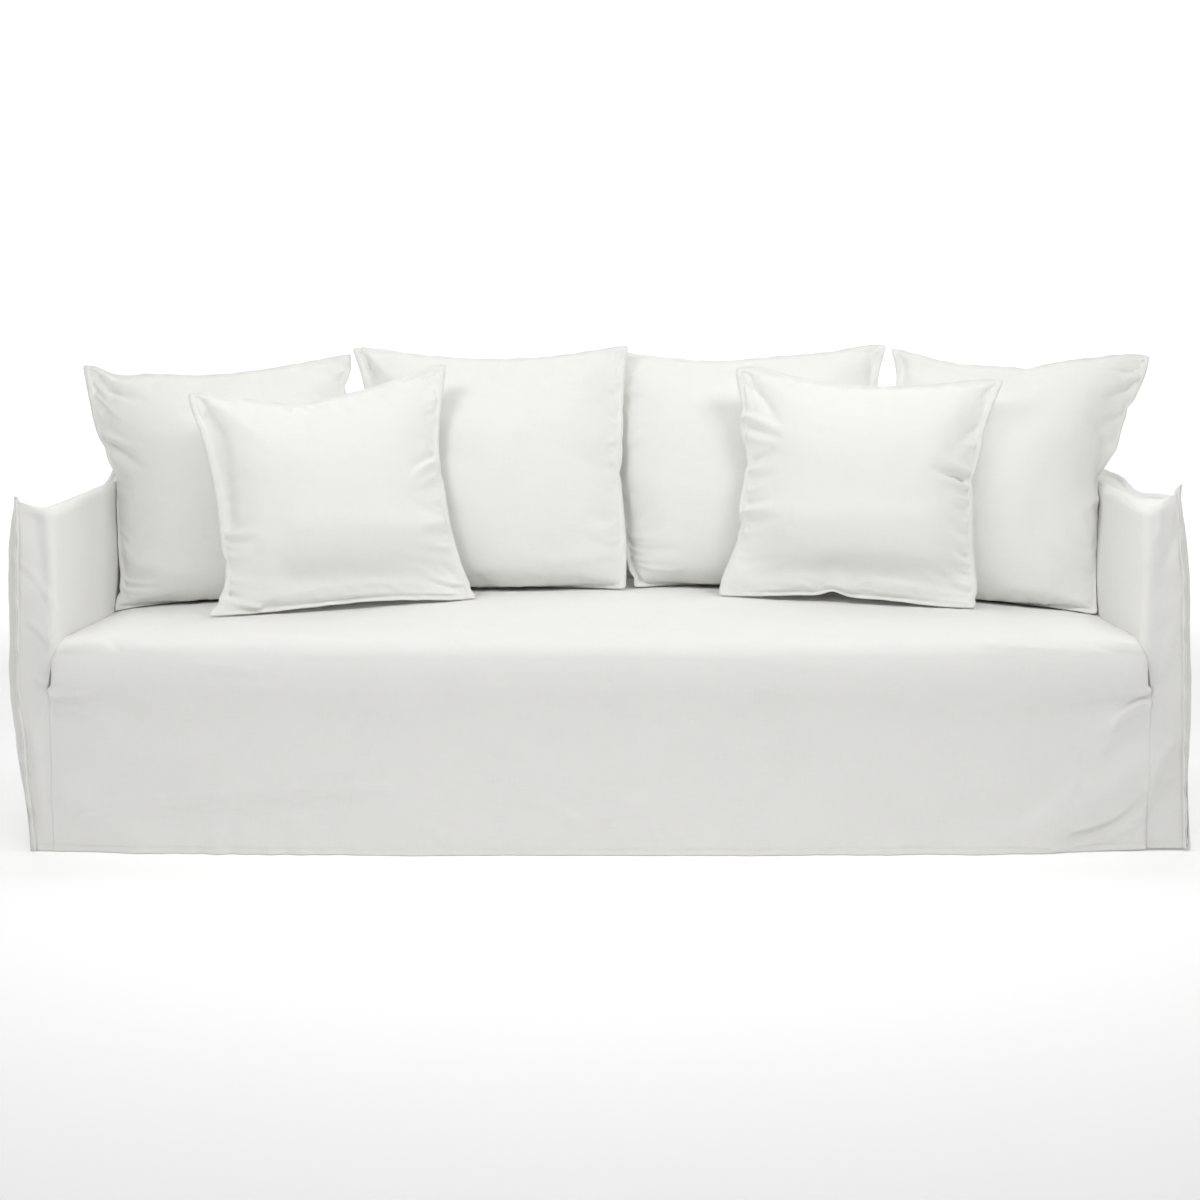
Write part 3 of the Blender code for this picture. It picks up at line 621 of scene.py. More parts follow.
def inside_arm_grids(side):
    """The inner face, the top and the front of an arm's cloth, with the flange along its edge."""
    near = np.linspace(0.0, ARM_RADIUS, 7)
    outs = np.concatenate((near, np.linspace(ARM_RADIUS, ARM_WIDTH, 12)[1:]))[None, :]
    rear = DEPTH - CLOTH - SEAM_GAP
    depths = np.concatenate((near, np.linspace(ARM_RADIUS, 0.10, 14)[1:], np.linspace(0.10, rear, 96)[1:]))
    tips = FLANGE_ROWS[None, :]
    upper_rows = 54
    inner, _ = arm_face(side, 0.0, depths[None, :], seam_height(0.0, depths[None, :]), upper_rows)

    y = depths[:, None]
    edge_height = read_table(TOP_EDGE[side], y)
    upper = arm_surface(side, outs, y, 0.0, mix(ARM_TOP, edge_height, ease(outs / ARM_WIDTH)))
    upper = np.concatenate((upper[:, :-1], arm_edge(side, y, edge_height, tips, -1, True)), axis=1)

    narrow, wide = outs[:, :7], outs[:, 6:]
    front_inner, _ = arm_face(side, narrow, 0.0, seam_height(narrow, 0.0), upper_rows)
    front, z = arm_face(side, wide, 0.0, SLIT_BOTTOM, upper_rows)
    hem = hem_height(side * FLANGE_HALF)
    low = np.concatenate((hem + NEAR_HEM, np.linspace(0.036, SLIT_BOTTOM, 46)[:-1]))[:, None]
    top = mix(ARM_TOP, read_table(TOP_EDGE[side], 0.0), ease(wide / ARM_WIDTH))
    front = np.concatenate((arm_surface(side, wide, 0.0, top - low, top), front))
    z = np.concatenate((low + 0.0 * wide, z))[:, -1:]
    front = np.concatenate((front[:, :-1], arm_edge(side, 0.0, z, tips, -1, False)), axis=1)
    front[-1, -4:] = upper[0, -4:]
    grids = []
    for points in (inner, upper, front_inner, front):
        x, y, z = np.abs(points[..., 0]), points[..., 1], points[..., 2]
        grids.append((points, np.stack((x + y, x + z), axis=-1)))
    return grids


def face_out(mesh):
    """Turns all faces of a sheet to its outer side: those on top face up."""
    body = bmesh.new()
    body.from_mesh(mesh)
    bmesh.ops.recalc_face_normals(body, faces=body.faces)
    upward = sum(face.normal.z * face.calc_area() for face in body.faces)
    if upward < 0.0:
        bmesh.ops.reverse_faces(body, faces=body.faces)
    body.to_mesh(mesh)
    body.free()


def press(mesh, relief):
    """Moves each point of a mesh along its normal by relief(x, y, z), measured from the floor."""
    points = read_vectors(mesh, "co")
    x, y, z = (points + ORIGIN).T
    move_points(mesh, points + read_vectors(mesh, "normal") * relief(x, y, z)[:, None])


def arm_relief(x, y, z):
    """The front shares its creases with the skirt; the inner face is nearly smooth."""
    on_front = 1.0 - ease((y - 0.004) / 0.020)
    ahead = hung_front(x, z) - y
    on_flange = ease((ahead - 0.001) / 0.003) * ease((np.abs(x) - 1.16) / 0.01)
    front = (front_relief(x, z) + hem_relief(z - hem_height(x))) * on_front * (1.0 - on_flange)
    inner = uneven(y + np.abs(x), z, height=0.0009, size=0.18, seed=9)
    inner += uneven(y, z, height=0.0003, size=0.05, seed=13)
    return front + inner * (1.0 - on_front)


def put_in_order(body):
    """Sorts edges and faces by their points: extruding leaves them in another order on each run."""
    body.verts.index_update()
    for items in (body.edges, body.faces):
        ordered = sorted(items, key=lambda item: sorted(vert.index for vert in item.verts))
        for number, item in enumerate(ordered):
            item.index = number
        items.sort()


def turn_in_seam(mesh):
    """Turns the arm's cloth in behind the skirt's edge, as the seam below the slit does."""
    body = bmesh.new()
    body.from_mesh(mesh)
    for inward, behind in ((0.0006, 0.0030), (0.0070, 0.0002)):
        edge = []
        for line in body.edges:
            ends = [vert.co for vert in line.verts]
            along = all(INNER_HALF + 0.010 < abs(co.x) < INNER_HALF + ARM_RADIUS + 0.0005 for co in ends)
            low = all(co.z + ORIGIN[2] < SLIT_BOTTOM - 0.002 for co in ends)
            if line.is_boundary and along and low and abs(ends[0].z - ends[1].z) > 0.0005:
                edge.append(line)
        made = bmesh.ops.extrude_edge_only(body, edges=edge)["geom"]
        for vert in (item for item in made if isinstance(item, bmesh.types.BMVert)):
            vert.co.x -= math.copysign(inward, vert.co.x)
            vert.co.y += behind
    put_in_order(body)
    body.to_mesh(mesh)
    body.free()


for side, node in ((LEFT, "inside_arm_left"), (RIGHT, "inside_arm_right")):
    mesh = grid_mesh(node + "_cloth", inside_arm_grids(side))
    face_out(mesh)
    press(mesh, arm_relief)
    turn_in_seam(mesh)
    mesh.shade_smooth()
    piece = cloth_piece(node + "_cloth", mesh, cover_linen)
    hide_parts(node)


# Outside arms. Each side panel hangs from the flat seam along the top of the arm to the floor.
# It is not stretched over anything, so it stands a little off the arm between its seams.
def outside_arm_points(side):
    """Rows of points from a side panel's hem up to its top seam, and then across the flange."""
    ear = ARM_SHAPE[side]["ear"]
    near = np.array((0.0, 0.004, 0.009, 0.015, 0.022, 0.032, 0.045))
    flange = FLANGE * np.array((0.3, 0.65, 1.0))
    level = np.linspace(0.055, DEPTH - 0.055, 92)
    depths = np.concatenate((-flange[::-1], near, level, DEPTH - near[::-1], DEPTH + flange))
    shares = np.concatenate((NEAR_HEM / 0.7, np.linspace(0.05, 0.93, 66), 1.0 - near[::-1] / 0.7))
    y = np.clip(depths, 0.0, DEPTH)[None, :]
    over = depths[None, :] - y
    top = read_table(TOP_EDGE[side], y)
    z = mix(hem_height(side * FLANGE_HALF), top, shares[:, None])
    half = flange_half(side, y, z) + CLOTH + SEAM_GAP
    ends = wrap(y / 0.06) * wrap((DEPTH - y) / 0.06)
    upright = wrap((top - z) / 0.12) * mix(0.35, 1.0, ease(z / 0.30))
    sag = 1.0 + uneven(y, z, height=0.10, size=0.42, seed=20 + side)
    x = half + ARM_SHAPE[side]["bulge"] * ends * upright * sag
    x = x + upright_wave(z, side) * np.abs(over) / FLANGE
    set_back = np.where(depths[None, :] <= 0.0, hung_front(side * half, z), 0.0)
    corner = np.clip(-over / FLANGE, 0.0, 1.0)
    lift = ear * ease(1.0 - (top - z) / EAR_REACH) * corner
    panel = points_at(side * x, y + over + set_back, z + lift)
    tips = []
    for out in FLANGE_ROWS:
        row = arm_edge(side, y[0], top[0], out, 1, True)
        past_front = depths < 0.0
        behind = row[:, 1] + np.maximum(0.0, over[0])
        row[:, 1] = np.where(past_front, np.minimum(row[:, 1], over[0]), behind)
        row[:, 2] = np.where(past_front, np.maximum(row[:, 2], top[0] + ear * corner[0]), row[:, 2])
        tips.append(row)
    panel[-1] = tips[0]
    return np.concatenate((panel, np.stack(tips[1:])))


def side_relief(side):
    def relief(x, y, z):
        inner = ease(y / 0.02) * ease((DEPTH - y) / 0.02) * ease((0.70 - z) / 0.02)
        total = uneven(y, z, height=0.0016, size=0.17, seed=30 + side)
        total += uneven(y, z, height=0.0005, size=0.05, seed=34 + side)
        sway = ripple(y, 0.31, side) + 0.4 * ripple(y, 0.17)
        total += 0.003 * near_floor(z, 0.10) * sway
        return total * inner + hem_relief(z - hem_height(x))
    return relief


for side, node in ((LEFT, "outside_arm_left"), (RIGHT, "outside_arm_right")):
    points = outside_arm_points(side)
    mesh = grid_mesh(node + "_cloth", [(points, cloth_lengths(points))], flip=side == LEFT)
    press(mesh, side_relief(side))
    piece = cloth_piece(node + "_cloth", mesh, cover_linen)
    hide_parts(node)


# Inside back. The cloth that faces the cushions runs up the back, over its rounded top edge and
# level to the rear panel. Most of it is hidden behind the cushions.
BACK_RADIUS = 0.010


def inside_back_points():
    """Rows of points up the back from the deck, round its top edge and level to the rear."""
    x = places(200, 0.0)[None, :] * (INNER_HALF - SEAM_GAP)
    low = seat_height(x, BACK_FACE) - 2.0 * CLOTH
    z = mix(low, BACK_TOP - BACK_RADIUS, np.linspace(0.0, 1.0, 24)[:, None])
    face = points_at(x, back_face(z), z)
    angle = np.radians(np.linspace(0.0, 90.0, 9)[1:])[:, None]
    y = back_face(BACK_TOP - BACK_RADIUS) + BACK_RADIUS * (1.0 - np.cos(angle))
    turn = points_at(x, y, BACK_TOP - BACK_RADIUS * (1.0 - np.sin(angle)))
    run = np.linspace(0.0, 1.0, 14)[1:, None]
    y = mix(back_face(BACK_TOP) + BACK_RADIUS, DEPTH - CLOTH - SEAM_GAP, run)
    return np.concatenate((face, turn, points_at(x, y, BACK_TOP)))


def back_relief(x, y, z):
    edge = ease((DEPTH - CLOTH - SEAM_GAP - y) / 0.03) * ease((INNER_HALF - np.abs(x)) / 0.03)
    edge = edge * ease((z - seat_height(x, BACK_FACE)) / 0.04)
    total = uneven(x, y + z, height=0.0012, size=0.14, seed=41)
    return (total + uneven(x, y + z, height=0.0005, size=0.05, seed=42)) * edge


points = inside_back_points()
mesh = grid_mesh("inside_back_cloth", [(points, cloth_lengths(points))])
press(mesh, back_relief)
inside_back = cloth_piece("inside_back_cloth", mesh, cover_linen)
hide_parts("inside_back")


# Outside back. The rear panel hangs to the floor from a flat seam that stands up along the top
# of the back, and meets the side panels' rear edges at the corners.
def outside_back_points():
    share = places_to_seams(190, 0.05)[None, :]
    near_top = np.array((0.04, 0.026, 0.015, 0.007, 0.0)) / BACK_TOP
    rise = np.concatenate((NEAR_HEM / BACK_TOP, np.linspace(0.055, 0.93, 56), 1.0 - near_top))
    z = mix(HEM_HEIGHT, BACK_TOP, rise[:, None])
    z = np.concatenate((z, BACK_TOP + FLANGE * FLANGE_ROWS[1:, None]))
    fullness = 0.010 * wrap((1.0 - np.abs(share)) / 0.08) * wrap((BACK_TOP - z) / 0.08)
    x = share * (flange_half(LEFT, DEPTH, z) - 0.5 * SEAM_GAP)
    wave = 0.0016 * ripple(x, 0.077) + 0.0011 * ripple(x, 0.043)
    return points_at(x, DEPTH + fullness + wave * clamp((z - BACK_TOP) / FLANGE), z)


# Soft creases of the rear panel, from its corners, its seam and its hem
REAR_CREASES = (
    ((-1.130, 0.690), (-0.860, 0.480), 0.022, 0.0055, 0.030),
    ((-1.140, 0.620), (-0.960, 0.390), 0.016, -0.0045, 0.020),
    ((1.135, 0.695), (0.900, 0.450), 0.020, 0.0055, -0.028),
    ((1.140, 0.560), (1.000, 0.330), 0.014, -0.0040, -0.016),
    ((-0.520, 0.700), (-0.360, 0.540), 0.018, 0.0035, 0.020),
    ((0.310, 0.700), (0.180, 0.580), 0.014, -0.0035, -0.014),
    ((-0.820, 0.010), (-0.700, 0.210), 0.030, 0.0060, 0.020),
    ((0.120, 0.010), (0.060, 0.170), 0.026, 0.0050, -0.014),
    ((0.760, 0.010), (0.880, 0.230), 0.030, 0.0055, 0.018),
)


def rear_relief(x, y, z):
    inner = ease((FLANGE_HALF - np.abs(x)) / 0.03) * ease((BACK_TOP - 0.01 - z) / 0.03)
    sway = ripple(x, 0.37) + 0.5 * ripple(x, 0.21, 1.3)
    total = folds(REAR_CREASES, x, z) + 0.0028 * near_floor(z, 0.12) * sway
    total += uneven(x, z, height=0.0026, size=0.24, seed=51)
    total += uneven(x, z, height=0.0007, size=0.06, seed=52)
    return total * inner + hem_relief(z - HEM_HEIGHT)


points = outside_back_points()
mesh = grid_mesh("outside_back_cloth", [(points, cloth_lengths(points))], flip=True)
press(mesh, rear_relief)
outside_back = cloth_piece("outside_back_cloth", mesh, cover_linen)
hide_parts("outside_back")


# Cushions. Four square back cushions and two smaller scatter cushions, each a soft filling in a
# linen cover whose two sides are sewn together with a flat flange all round.

# Each cushion lists the corners of its flange, then, along each edge from -1 to 1, how far that
# edge draws in. "foot" is how far its lower edge comes forward on the deck and "rise" how far it is
# lifted off it. A pinch is a short, sharp inset: edge, place along it, depth and half width.
CUSHIONS = (
    {"name": "back_cushion_1", "top_left": (-1.235, 0.800, 0.989), "top_right": (-0.604, 0.810, 1.015),
     "low_left": (-1.127, 0.600, 0.430), "low_right": (-0.574, 0.560, 0.455), "thick": 0.240,
     "left": ((-1.0, -0.002), (-0.8, 0.027), (-0.5, 0.027), (-0.1, 0.033), (0.25, 0.028),
              (0.42, 0.013), (0.7, 0.005), (1.0, 0.001)),
     "right": ((-1.0, 0.012), (0.4, 0.005), (0.72, 0.008), (0.88, -0.003), (1.0, -0.004)),
     "top": ((-1.0, 0.002), (-0.89, 0.011), (-0.78, 0.029), (-0.5, 0.033), (-0.1, 0.042),
             (0.3, 0.035), (0.7, 0.018), (1.0, 0.003)),
     "foot": ((-1.0, 0.065), (-0.88, 0.035), (-0.6, 0.005), (0.0, -0.015), (0.8, -0.01), (1.0, 0.0)),
     "pinches": (("left", -0.86, 0.010, 0.022), ("left", 0.30, 0.005, 0.030),
                 ("right", 0.73, 0.006, 0.03))},
    {"name": "back_cushion_2", "top_left": (-0.597, 0.800, 1.027), "top_right": (0.052, 0.790, 1.035),
     "low_left": (-0.566, 0.555, 0.475), "low_right": (0.055, 0.535, 0.480), "thick": 0.245,
     "left": ((-1.0, 0.020), (0.4, 0.031), (0.7, 0.024), (1.0, -0.001)),
     "right": ((-1.0, 0.005), (-0.65, 0.004), (-0.35, 0.010), (-0.06, 0.016), (0.12, 0.012),
               (0.5, 0.010), (0.8, 0.005), (1.0, -0.003)),
     "top": ((-1.0, 0.0), (-0.88, 0.002), (-0.5, 0.021), (0.05, 0.034), (0.4, 0.030),
             (0.75, 0.015), (1.0, 0.002)),
     "foot": ((-1.0, 0.0), (-0.8, -0.015), (0.8, -0.015), (1.0, 0.0)),
     "pinches": (("right", -0.06, 0.009, 0.022), ("right", 0.46, 0.004, 0.02),
                 ("right", 0.20, 0.003, 0.03))},
    {"name": "back_cushion_3", "top_left": (0.026, 0.832, 1.022), "top_right": (0.662, 0.800, 1.032),
     "low_left": (0.064, 0.585, 0.478), "low_right": (0.597, 0.560, 0.470), "thick": 0.235,
     "left": ((-1.0, 0.004), (-0.8, -0.010), (-0.4, -0.022), (0.3, -0.024), (0.7, -0.014), (1.0, 0.0)),
     "right": ((-1.0, 0.004), (0.0, 0.022), (0.5, 0.014), (0.8, 0.010), (1.0, -0.001)),
     "top": ((-1.0, 0.006), (-0.6, 0.025), (-0.25, 0.034), (0.2, 0.024), (0.6, 0.014),
             (0.85, 0.0), (1.0, -0.002)),
     "foot": ((-1.0, 0.02), (-0.8, -0.01), (0.8, -0.015), (1.0, 0.0)),
     "pinches": (("left", -0.70, 0.006, 0.03), ("left", -0.92, 0.008, 0.03))},
    {"name": "back_cushion_4", "top_left": (0.670, 0.800, 1.027), "top_right": (1.279, 0.780, 1.009),
     "low_left": (0.605, 0.560, 0.465), "low_right": (1.109, 0.520, 0.440), "thick": 0.245,
     "left": ((-1.0, 0.004), (-0.2, 0.020), (0.4, 0.016), (0.8, 0.019), (1.0, 0.001)),
     "right": ((-1.0, -0.008), (-0.8, 0.001), (-0.5, 0.011), (-0.2, 0.024), (-0.05, 0.031),
               (0.1, 0.028), (0.5, 0.023), (0.72, 0.006), (0.85, -0.001), (1.0, 0.0)),
     "top": ((-1.0, 0.0), (-0.8, 0.0145), (-0.5, 0.035), (-0.2, 0.039), (0.1, 0.039),
             (0.35, 0.021), (0.6, 0.009), (0.8, 0.0), (1.0, 0.0)),
     "foot": ((-1.0, 0.0), (-0.5, -0.015), (0.4, -0.005), (0.8, 0.02), (1.0, 0.04)),
     "pinches": (("right", 0.565, 0.010, 0.022), ("right", 0.02, 0.005, 0.03), ("top", 0.06, 0.004, 0.05))},
    {"name": "scatter_cushion_left", "top_left": (-0.937, 0.530, 0.931), "top_right": (-0.359, 0.600, 0.996),
     "low_left": (-0.850, 0.315, 0.461), "low_right": (-0.286, 0.420, 0.490), "thick": 0.180,
     "left": ((-1.0, -0.017), (-0.9, 0.006), (-0.78, 0.026), (-0.35, 0.033), (0.2, 0.031),
              (0.6, 0.018), (0.9, 0.002), (1.0, 0.0)),
     "right": ((-1.0, -0.008), (-0.85, 0.010), (-0.5, 0.031), (0.0, 0.039), (0.2, 0.041),
               (0.6, 0.025), (0.9, 0.0055), (1.0, 0.0)),
     "top": ((-1.0, -0.001), (-0.9, 0.002), (-0.5, 0.034), (-0.15, 0.056), (0.1, 0.048),
             (0.4, 0.036), (0.7, 0.016), (0.9, 0.001), (1.0, 0.0)),
     "foot": ((-1.0, 0.0), (-0.85, 0.01), (-0.5, 0.022), (0.5, 0.022), (0.85, 0.01), (1.0, 0.0)),
     "rise": ((-1.0, 0.0), (-0.6, 0.002), (-0.2, 0.008), (0.2, 0.012), (0.6, 0.006), (0.85, 0.0),
              (1.0, 0.0)),
     "pinches": (("left", -0.55, 0.006, 0.022), ("right", 0.05, 0.005, 0.025),
                 ("left", -0.90, 0.006, 0.03), ("right", -0.93, 0.006, 0.03))},
    {"name": "scatter_cushion_right", "top_left": (0.301, 0.570, 0.988), "top_right": (0.902, 0.570, 0.958),
     "low_left": (0.258, 0.450, 0.486), "low_right": (0.837, 0.410, 0.465), "thick": 0.180,
     "left": ((-1.0, -0.002), (-0.88, 0.003), (-0.5, 0.033), (-0.2, 0.031), (0.08, 0.037),
              (0.25, 0.036), (0.42, 0.021), (0.7, 0.014), (0.9, 0.001), (1.0, -0.004)),
     "right": ((-1.0, 0.005), (-0.85, 0.007), (-0.5, 0.025), (-0.1, 0.036), (0.1, 0.041),
               (0.3, 0.033), (0.6, 0.025), (0.85, 0.006), (1.0, -0.005)),
     "top": ((-1.0, 0.0), (-0.88, -0.004), (-0.5, 0.017), (0.1, 0.027), (0.5, 0.015),
             (0.85, -0.001), (1.0, -0.004)),
     "foot": ((-1.0, 0.0), (-0.8, 0.01), (-0.3, 0.022), (0.6, 0.022), (0.9, 0.01), (1.0, 0.0)),
     "rise": ((-1.0, 0.0), (-0.8, 0.002), (-0.4, 0.010), (-0.22, 0.014), (-0.13, 0.023),
              (-0.04, 0.015), (0.3, 0.009), (0.7, 0.001), (1.0, 0.0)),
     "pinches": (("left", 0.14, 0.009, 0.022), ("right", 0.09, 0.009, 0.02),
                 ("left", 0.62, 0.004, 0.03), ("left", -0.40, 0.006, 0.03),
                 ("right", -0.30, 0.004, 0.02), ("right", -0.92, 0.005, 0.03))},
)
# Creases on each cushion, in millimetres from the middle of its cloth: start across and up, end
# across and up, half width, height and sideways bend
CREASES = {
    "back_cushion_1": (
        (-314, 300, -269, 259, 10, -9, 0), (-269, 259, -175, 206, 9, -6, 0),
        (-289, 300, -158, 241, 10, 4, 0), (-305, 246, -289, 151, 14, -6, 0),
        (-310, 129, -224, 67, 7, 7, -2), (-308, 95, -212, 10, 8, -7, -2), (-311, 63, -244, -12, 9, 3, 0),
        (-306, 229, -241, 162, 6, 4, 0), (-314, -237, -193, -213, 4, 3.5, 1),
        (-314, -263, -223, -244, 4, 3, 0), (-314, -253, -253, -233, 3, -3, 0),
        (315, 245, 302, 241, 4, -3, 0), (316, 270, 283, 256, 6, 2, 0), (-280, -173, -63, -187, 22, 3, 0),
        (206, 299, 284, 245, 14, -3, 0),
    ),
    "back_cushion_2": (
        (-322, 300, -304, 198, 9, -9, 3), (-307, 301, -246, 203, 12, 4, 0),
        (-323, 253, -320, 120, 12, -4, 0), (323, 211, 301, 212, 4, 2.5, 0),
        (323, 183, 298, 186, 4, -3, 0), (323, 84, 304, 88, 4, -3, 0), (323, 61, 297, 43, 4, 3.5, 0),
        (322, 42, 299, 34, 4, -3, 0), (322, 19, 304, -5, 5, 3.5, 0), (323, -11, 301, -11, 5, -5, 0),
        (323, -36, 299, -48, 5, 3, 0), (323, 299, 291, 241, 10, -4, 0), (323, -140, 276, -147, 8, 2, 0),
        (31, -186, 274, -205, 16, 2.5, 0), (-298, 84, -41, -38, 40, -3, 0),
    ),
    "back_cushion_3": (
        (-308, -173, -214, -148, 5, 2, 0), (-313, -195, -171, -172, 5, -2, 0),
        (-313, -227, -188, -200, 6, 2, 0), (-317, -265, -305, -299, 7, -9, 0),
        (-244, 140, -268, -120, 44, -2.5, 0), (295, 297, 317, 207, 9, -5, 0),
        (317, 296, 277, 262, 8, 3, 0), (-292, -240, -154, -223, 6, 2, 0), (26, 292, 125, 256, 12, 2, 0),
    ),
    "back_cushion_4": (
        (189, 305, 303, 305, 6, 4.5, 0), (226, 268, 304, 278, 5, -7, 0), (243, 244, 304, 257, 5, 6, 0),
        (248, 187, 303, 232, 8, -10, 0), (226, 215, 276, 240, 6, 3, 0), (303, 175, 248, 142, 6, 3.5, 0),
        (304, 154, 253, 107, 6, -3.5, 0), (303, 115, 251, 81, 6, 2.5, 0), (304, 86, 251, 44, 8, -3, 0),
        (269, 174, 294, -19, 14, -5, 0), (-303, 306, -295, 222, 9, -5, 0),
        (-303, 305, -261, 290, 8, 3, 0), (298, -52, 233, -85, 8, 2.5, 0),
        (301, -156, 231, -156, 8, -2, 0), (172, -296, 178, -240, 6, 2, 0),
        (118, -99, 230, -241, 34, -3, 0),
    ),
    "scatter_cushion_left": (
        (-291, 260, -265, 157, 13, -11, 2), (-267, 258, -159, 132, 16, 5, 0),
        (-266, 157, -287, -54, 22, -6, 0), (-90, 259, -70, 229, 4, -4, 0), (-64, 260, -81, 222, 4, 3, 0),
        (-41, 260, -24, 229, 4, -3.5, 0), (-14, 259, 0, 229, 4, -3, 0), (14, 259, 24, 223, 4, 2.5, 0),
        (-291, -88, -191, -89, 5, 4.5, 1), (-292, -103, -200, -107, 5, -3.5, 0),
        (-292, -132, -234, -137, 6, 2.5, 0), (-293, -222, -251, -232, 6, -9, 0),
        (-281, -241, -196, -255, 5, 5, 0), (-293, -194, -245, -192, 6, 3, 0),
        (211, -12, 292, 42, 6, 5.5, 2), (221, 12, 291, 57, 6, -4.5, 2), (222, -30, 292, 8, 4, 3.5, 1),
        (217, -38, 291, -16, 4, -3, 0), (230, -61, 291, -47, 5, 2.5, 0),
        (212, -104, 291, -98, 5, 4.5, 1), (225, -117, 292, -122, 5, -4.5, 1),
        (222, -139, 291, -154, 5, 2.5, 0), (202, -187, 291, -241, 6, 4.5, 0),
        (212, -213, 291, -256, 6, -4.5, 0), (226, -252, 290, -261, 5, 3.5, 0),
        (292, -213, 260, -174, 5, -3, 0), (292, 259, 259, 208, 9, -4, 0),
        (292, 191, 259, 177, 5, 2.5, 0), (292, 158, 256, 146, 5, -2.5, 0),
        (-130, -190, 262, -212, 44, -12, 0), (-93, -85, 277, -101, 28, 4, 0),
        (-140, -260, 250, -264, 11, 5, 0),
    ),
    "scatter_cushion_right": (
        (-300, 256, -219, 136, 9, -11, 0), (-301, 242, -296, 172, 6, 6, 0),
        (-276, 257, -190, 198, 12, 4, 0), (-299, 152, -215, 115, 7, 7, -2),
        (-300, 130, -219, 93, 6, -5, -2), (-300, 101, -188, 67, 9, 3, 0), (-299, 46, -244, 60, 5, -6, 0),
        (-297, 22, -224, 36, 6, 4, 0), (-298, 2, -228, 6, 5, -3.5, 0), (-299, -24, -232, -16, 5, 2.5, 0),
        (-300, -52, -233, -46, 5, -3, 0), (-300, -72, -211, -61, 6, 6.5, 0),
        (-300, -92, -217, -83, 5, -4, 0), (-300, -120, -248, -107, 5, 3, 0),
        (188, 36, 300, 21, 4, -9, -1), (196, 58, 298, 42, 7, 5.5, 0), (210, 11, 299, 6, 5, 7, 0),
        (220, -12, 299, -10, 4, -4, 0), (299, -25, 237, -12, 4, 4, 0), (299, -47, 244, -40, 4, -4, 0),
        (299, -77, 244, -60, 4, 4, 0), (300, -102, 252, -84, 4, -3.5, 0), (299, -125, 240, -97, 5, 4, 0),
        (299, -152, 255, -125, 4, -4, 0), (300, -173, 248, -135, 4, 4, 0),
        (300, -196, 255, -165, 4, -3.5, 0), (300, -222, 240, -177, 5, 4, 0),
        (301, -238, 260, -217, 4, -3.5, 0), (-62, -298, -72, -222, 9, -8, 0),
        (-224, -196, 248, -204, 48, -14, 8), (-229, -80, 219, -64, 30, 4, 0),
        (-240, -264, -95, -256, 10, 5, 0), (-40, -258, 275, -264, 10, 5, 0),
        (299, 257, 284, 182, 13, -7, 0), (298, 258, 238, 239, 8, 3.5, 0), (293, 143, 215, 69, 12, -4, 0),
        (299, 107, 227, 100, 6, 3, 0),
    ),
}
# Gathers along the seams, in metres: edge, start and end along it, pitch, height, reach and slant
GATHERS = {
    "back_cushion_1": (("left", -0.27, 0.27, 0.041, 0.0016, 0.030, 0.5),
                       ("top", -0.25, 0.28, 0.055, 0.0010, 0.022, 0.3)),
    "back_cushion_2": (("right", -0.25, 0.25, 0.033, 0.0016, 0.026, -0.4),
                       ("top", -0.28, 0.28, 0.060, 0.0010, 0.022, 0.3)),
    "back_cushion_3": (("top", -0.28, 0.28, 0.052, 0.0010, 0.022, -0.3),
                       ("right", 0.0, 0.25, 0.040, 0.0014, 0.026, 0.4)),
    "back_cushion_4": (("right", -0.25, 0.26, 0.037, 0.0018, 0.030, -0.5),
                       ("top", -0.26, 0.25, 0.050, 0.0010, 0.022, 0.3)),
    "scatter_cushion_left": (("right", -0.22, 0.22, 0.029, 0.0018, 0.026, -0.5),
                             ("left", -0.22, 0.10, 0.040, 0.0014, 0.024, 0.4),
                             ("low", -0.24, 0.24, 0.043, 0.0012, 0.022, 0.2)),
    "scatter_cushion_right": (("right", -0.22, 0.06, 0.026, 0.0018, 0.024, -0.5),
                              ("left", -0.20, 0.20, 0.034, 0.0016, 0.026, 0.5),
                              ("low", -0.25, 0.25, 0.047, 0.0012, 0.022, 0.2)),
}
CORNERS = ("low_left", "low_right", "top_left", "top_right")
CUSHION_STEPS = 64
# Space left to the deck and the arms, to the back, and to a cushion behind
CONTACT_GAP = 0.0020
BACK_GAP = 0.004
LEAN_GAP = 0.014
# Half thickness of a cushion's seam, and of its flange halfway out and at its tip
SEAM_HALF = 0.0025
FLANGE_HALF_THICK = 0.0023
TIP_HALF = 0.0020
# Share of the filling before the seams, what a leaning cushion has less of it low down, and how
# far the filling sinks
FRONT_SHARE = 0.54
LEANING_LESS = 0.20
BACK_SLUMP = 0.85
SCATTER_SLUMP = 0.60
# The rear cloth lies this far from the front one on the flat cloth, in metres
REAR_OFFSET = 2.0
# Creases narrower than this taper and fan out more from the seam: taper and spread of both kinds
SHARP_CREASE = 0.020
SHARP_ENDS = (0.8, 0.7)
BROAD_ENDS = (0.2, 0.0)
FRONT_CREASING = 1.75
REAR_CREASING = 0.40
# The filling presses the cloth out for this long, and moves no point further than this
FILLING_FRAMES = 18
FILLING_REACH = 0.009


def curve(rows, at):
    """Smooth curve through the rows (place, value) of a table."""
    knots, values = np.array(rows).T
    slopes = np.gradient(values, knots)
    index = np.clip(np.searchsorted(knots, at, side="right") - 1, 0, len(knots) - 2)
    span = knots[index + 1] - knots[index]
    t = clamp((at - knots[index]) / span)
    start = values[index] * (1.0 + 2.0 * t) + span * slopes[index] * t
    end = values[index + 1] * (3.0 - 2.0 * t) - span * slopes[index + 1] * (1.0 - t)
    return start * (1.0 - t) ** 2 + end * t ** 2


def corners(row):
    return [np.array(row[name]) for name in CORNERS]


